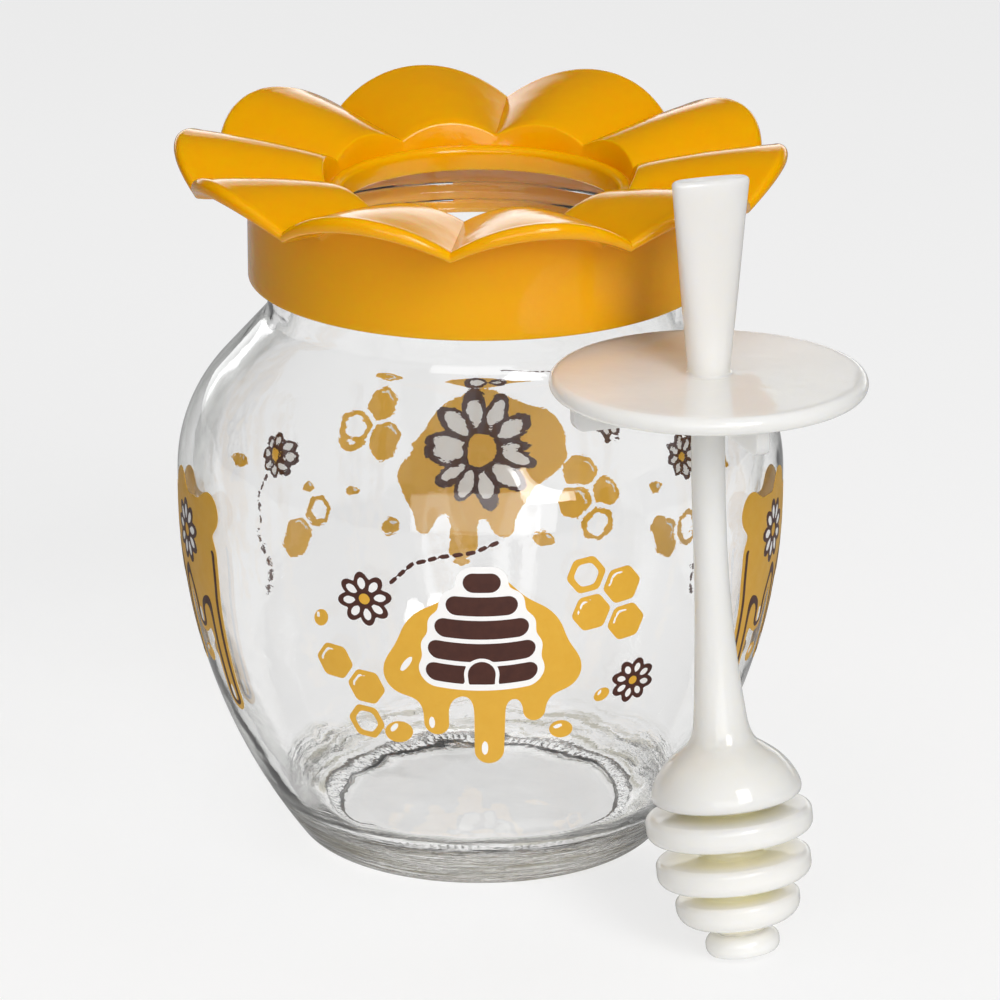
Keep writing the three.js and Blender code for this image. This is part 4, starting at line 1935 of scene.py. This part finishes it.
@dataclass
class Studio:
    """Floor, soft light and the camera of the photograph."""

    floor_half: float = 4000.0
    camera_aside: float = 2.90
    camera_back: float = 885.6
    camera_height: float = 353.65
    camera_pitch: float = 18.86
    lens: float = 226.57
    sensor: float = 36.0
    room_front: float = 0.28
    room_rear: float = 0.04
    room_turn: Pair = (-0.2, 0.35)
    room_side: float = 0.2
    side_turn: Pair = (0.35, 0.85)
    room_seen: float = 0.8
    strip: float = 1.9
    strip_turn: Pair = (0.72, 0.92)
    strip_rise: Pair = (0.05, 0.29)
    card: float = 0.65
    card_turn: Pair = (0.0, 0.1)
    card_middle: Pair = (0.033, 0.278)
    card_half: Pair = (0.035, 0.03)
    card_edge: float = 0.015
    boxes: tuple[SoftBox, ...] = (
        SoftBox("key_box", (420.0, -820.0, 700.0), (380.0, 560.0), 5.9),
        SoftBox("front_box", (30.0, -1250.0, 420.0), (1300.0, 700.0), 5.5),
        SoftBox("top_box", (-60.0, 120.0, 1150.0), (1100.0, 900.0), 4.8, mirrored=False),
    )

    def build_camera(self) -> bpy.types.Object:
        """Makes the camera and makes it the scene's own.

        Returns:
            The camera.
        """
        axis = node_axis("glass_jar")
        lens = bpy.data.cameras.new("photo_camera")
        lens.lens, lens.sensor_width = self.lens, self.sensor
        lens.clip_start, lens.clip_end = 0.01, 100.0
        camera = bpy.data.objects.new("photo_camera", lens)
        camera.location = Vector((
            axis[0] + self.camera_aside, axis[1] - self.camera_back, self.camera_height,
        )) * MM
        camera.rotation_euler = (math.radians(90 - self.camera_pitch), 0.0, 0.0)
        bpy.context.scene.collection.objects.link(camera)
        bpy.context.scene.camera = camera
        return camera

    def build_floor(self, effects: SharedEffects) -> bpy.types.Object:
        """Makes the floor.

        Args:
            effects: The shared shader groups.

        Returns:
            The floor.
        """
        shape = bmesh.new()
        bmesh.ops.create_grid(shape, x_segments=8, y_segments=8, size=self.floor_half * MM)
        mesh = bpy.data.meshes.new("floor")
        shape.to_mesh(mesh)
        shape.free()
        floor = bpy.data.objects.new("floor", mesh)
        mesh.materials.append(StudioFloor().material(effects))
        bpy.context.scene.collection.objects.link(floor)
        return floor

    def build_room(self) -> bpy.types.World:
        """Makes the light of the room: dim sides and rear, a bright strip and a card behind.

        Returns:
            The world.
        """
        world = bpy.data.worlds.new("studio_room")
        world.use_nodes = True
        world.node_tree.nodes.clear()
        bench = NodeBench(world.node_tree)
        way = bench.add("ShaderNodeTexCoord").outputs["Generated"]
        parts = bench.add("ShaderNodeSeparateXYZ", {0: way}).outputs
        aside = bench.maths("ABSOLUTE", parts["X"])
        around = bench.maths(
            "MULTIPLY", bench.ranged(aside, *self.side_turn, 1.0, self.room_side),
            bench.ranged(parts["Y"], *self.room_turn, self.room_front, self.room_rear),
        )
        behind = bench.ranged(parts["Y"], *self.strip_turn, 0.0, self.strip)
        low = bench.ranged(parts["Z"], *self.strip_rise, 1.0, 0.0)
        strip = bench.maths("MULTIPLY_ADD", behind, low, around)
        card = bench.ranged(parts["Y"], *self.card_turn, 0.0, self.card)
        for part, middle, half in zip("XZ", self.card_middle, self.card_half):
            off = bench.maths("ABSOLUTE", bench.maths("SUBTRACT", parts[part], middle))
            on_card = bench.ranged(off, half, half + self.card_edge, 1.0, 0.0)
            card = bench.maths("MULTIPLY", card, on_card)
        camera_ray = bench.add("ShaderNodeLightPath").outputs["Is Camera Ray"]
        strength = bench.maths("MAXIMUM", bench.maths("ADD", strip, card),
                               bench.maths("MULTIPLY", camera_ray, self.room_seen))
        light = bench.add("ShaderNodeBackground", {"Strength": strength})
        light.inputs["Color"].default_value = (1.0, 1.0, 1.0, 1.0)
        output = bench.add("ShaderNodeOutputWorld")
        bench.tree.links.new(light.outputs[0], output.inputs["Surface"])
        bpy.context.scene.world = world
        return world

    def build(self, effects: SharedEffects) -> None:
        """Makes the whole studio.

        Args:
            effects: The shared shader groups.
        """
        bpy.context.scene.view_settings.view_transform = "Standard"
        self.build_camera()
        self.build_floor(effects)
        self.build_room()
        for box in self.boxes:
            box.build()


def main() -> None:
    """Builds the studio and every piece, and reports each one."""
    logging.basicConfig(level=logging.INFO, format="%(name)s: %(message)s")
    effects = SharedEffects()
    Studio().build(effects)
    jar = GlassJar()
    jar.build(effects)
    GlassPrint(jar).build(effects)
    FlowerLid().build(effects)
    HoneyDipper().build(effects)


if __name__ == "__main__":
    main()
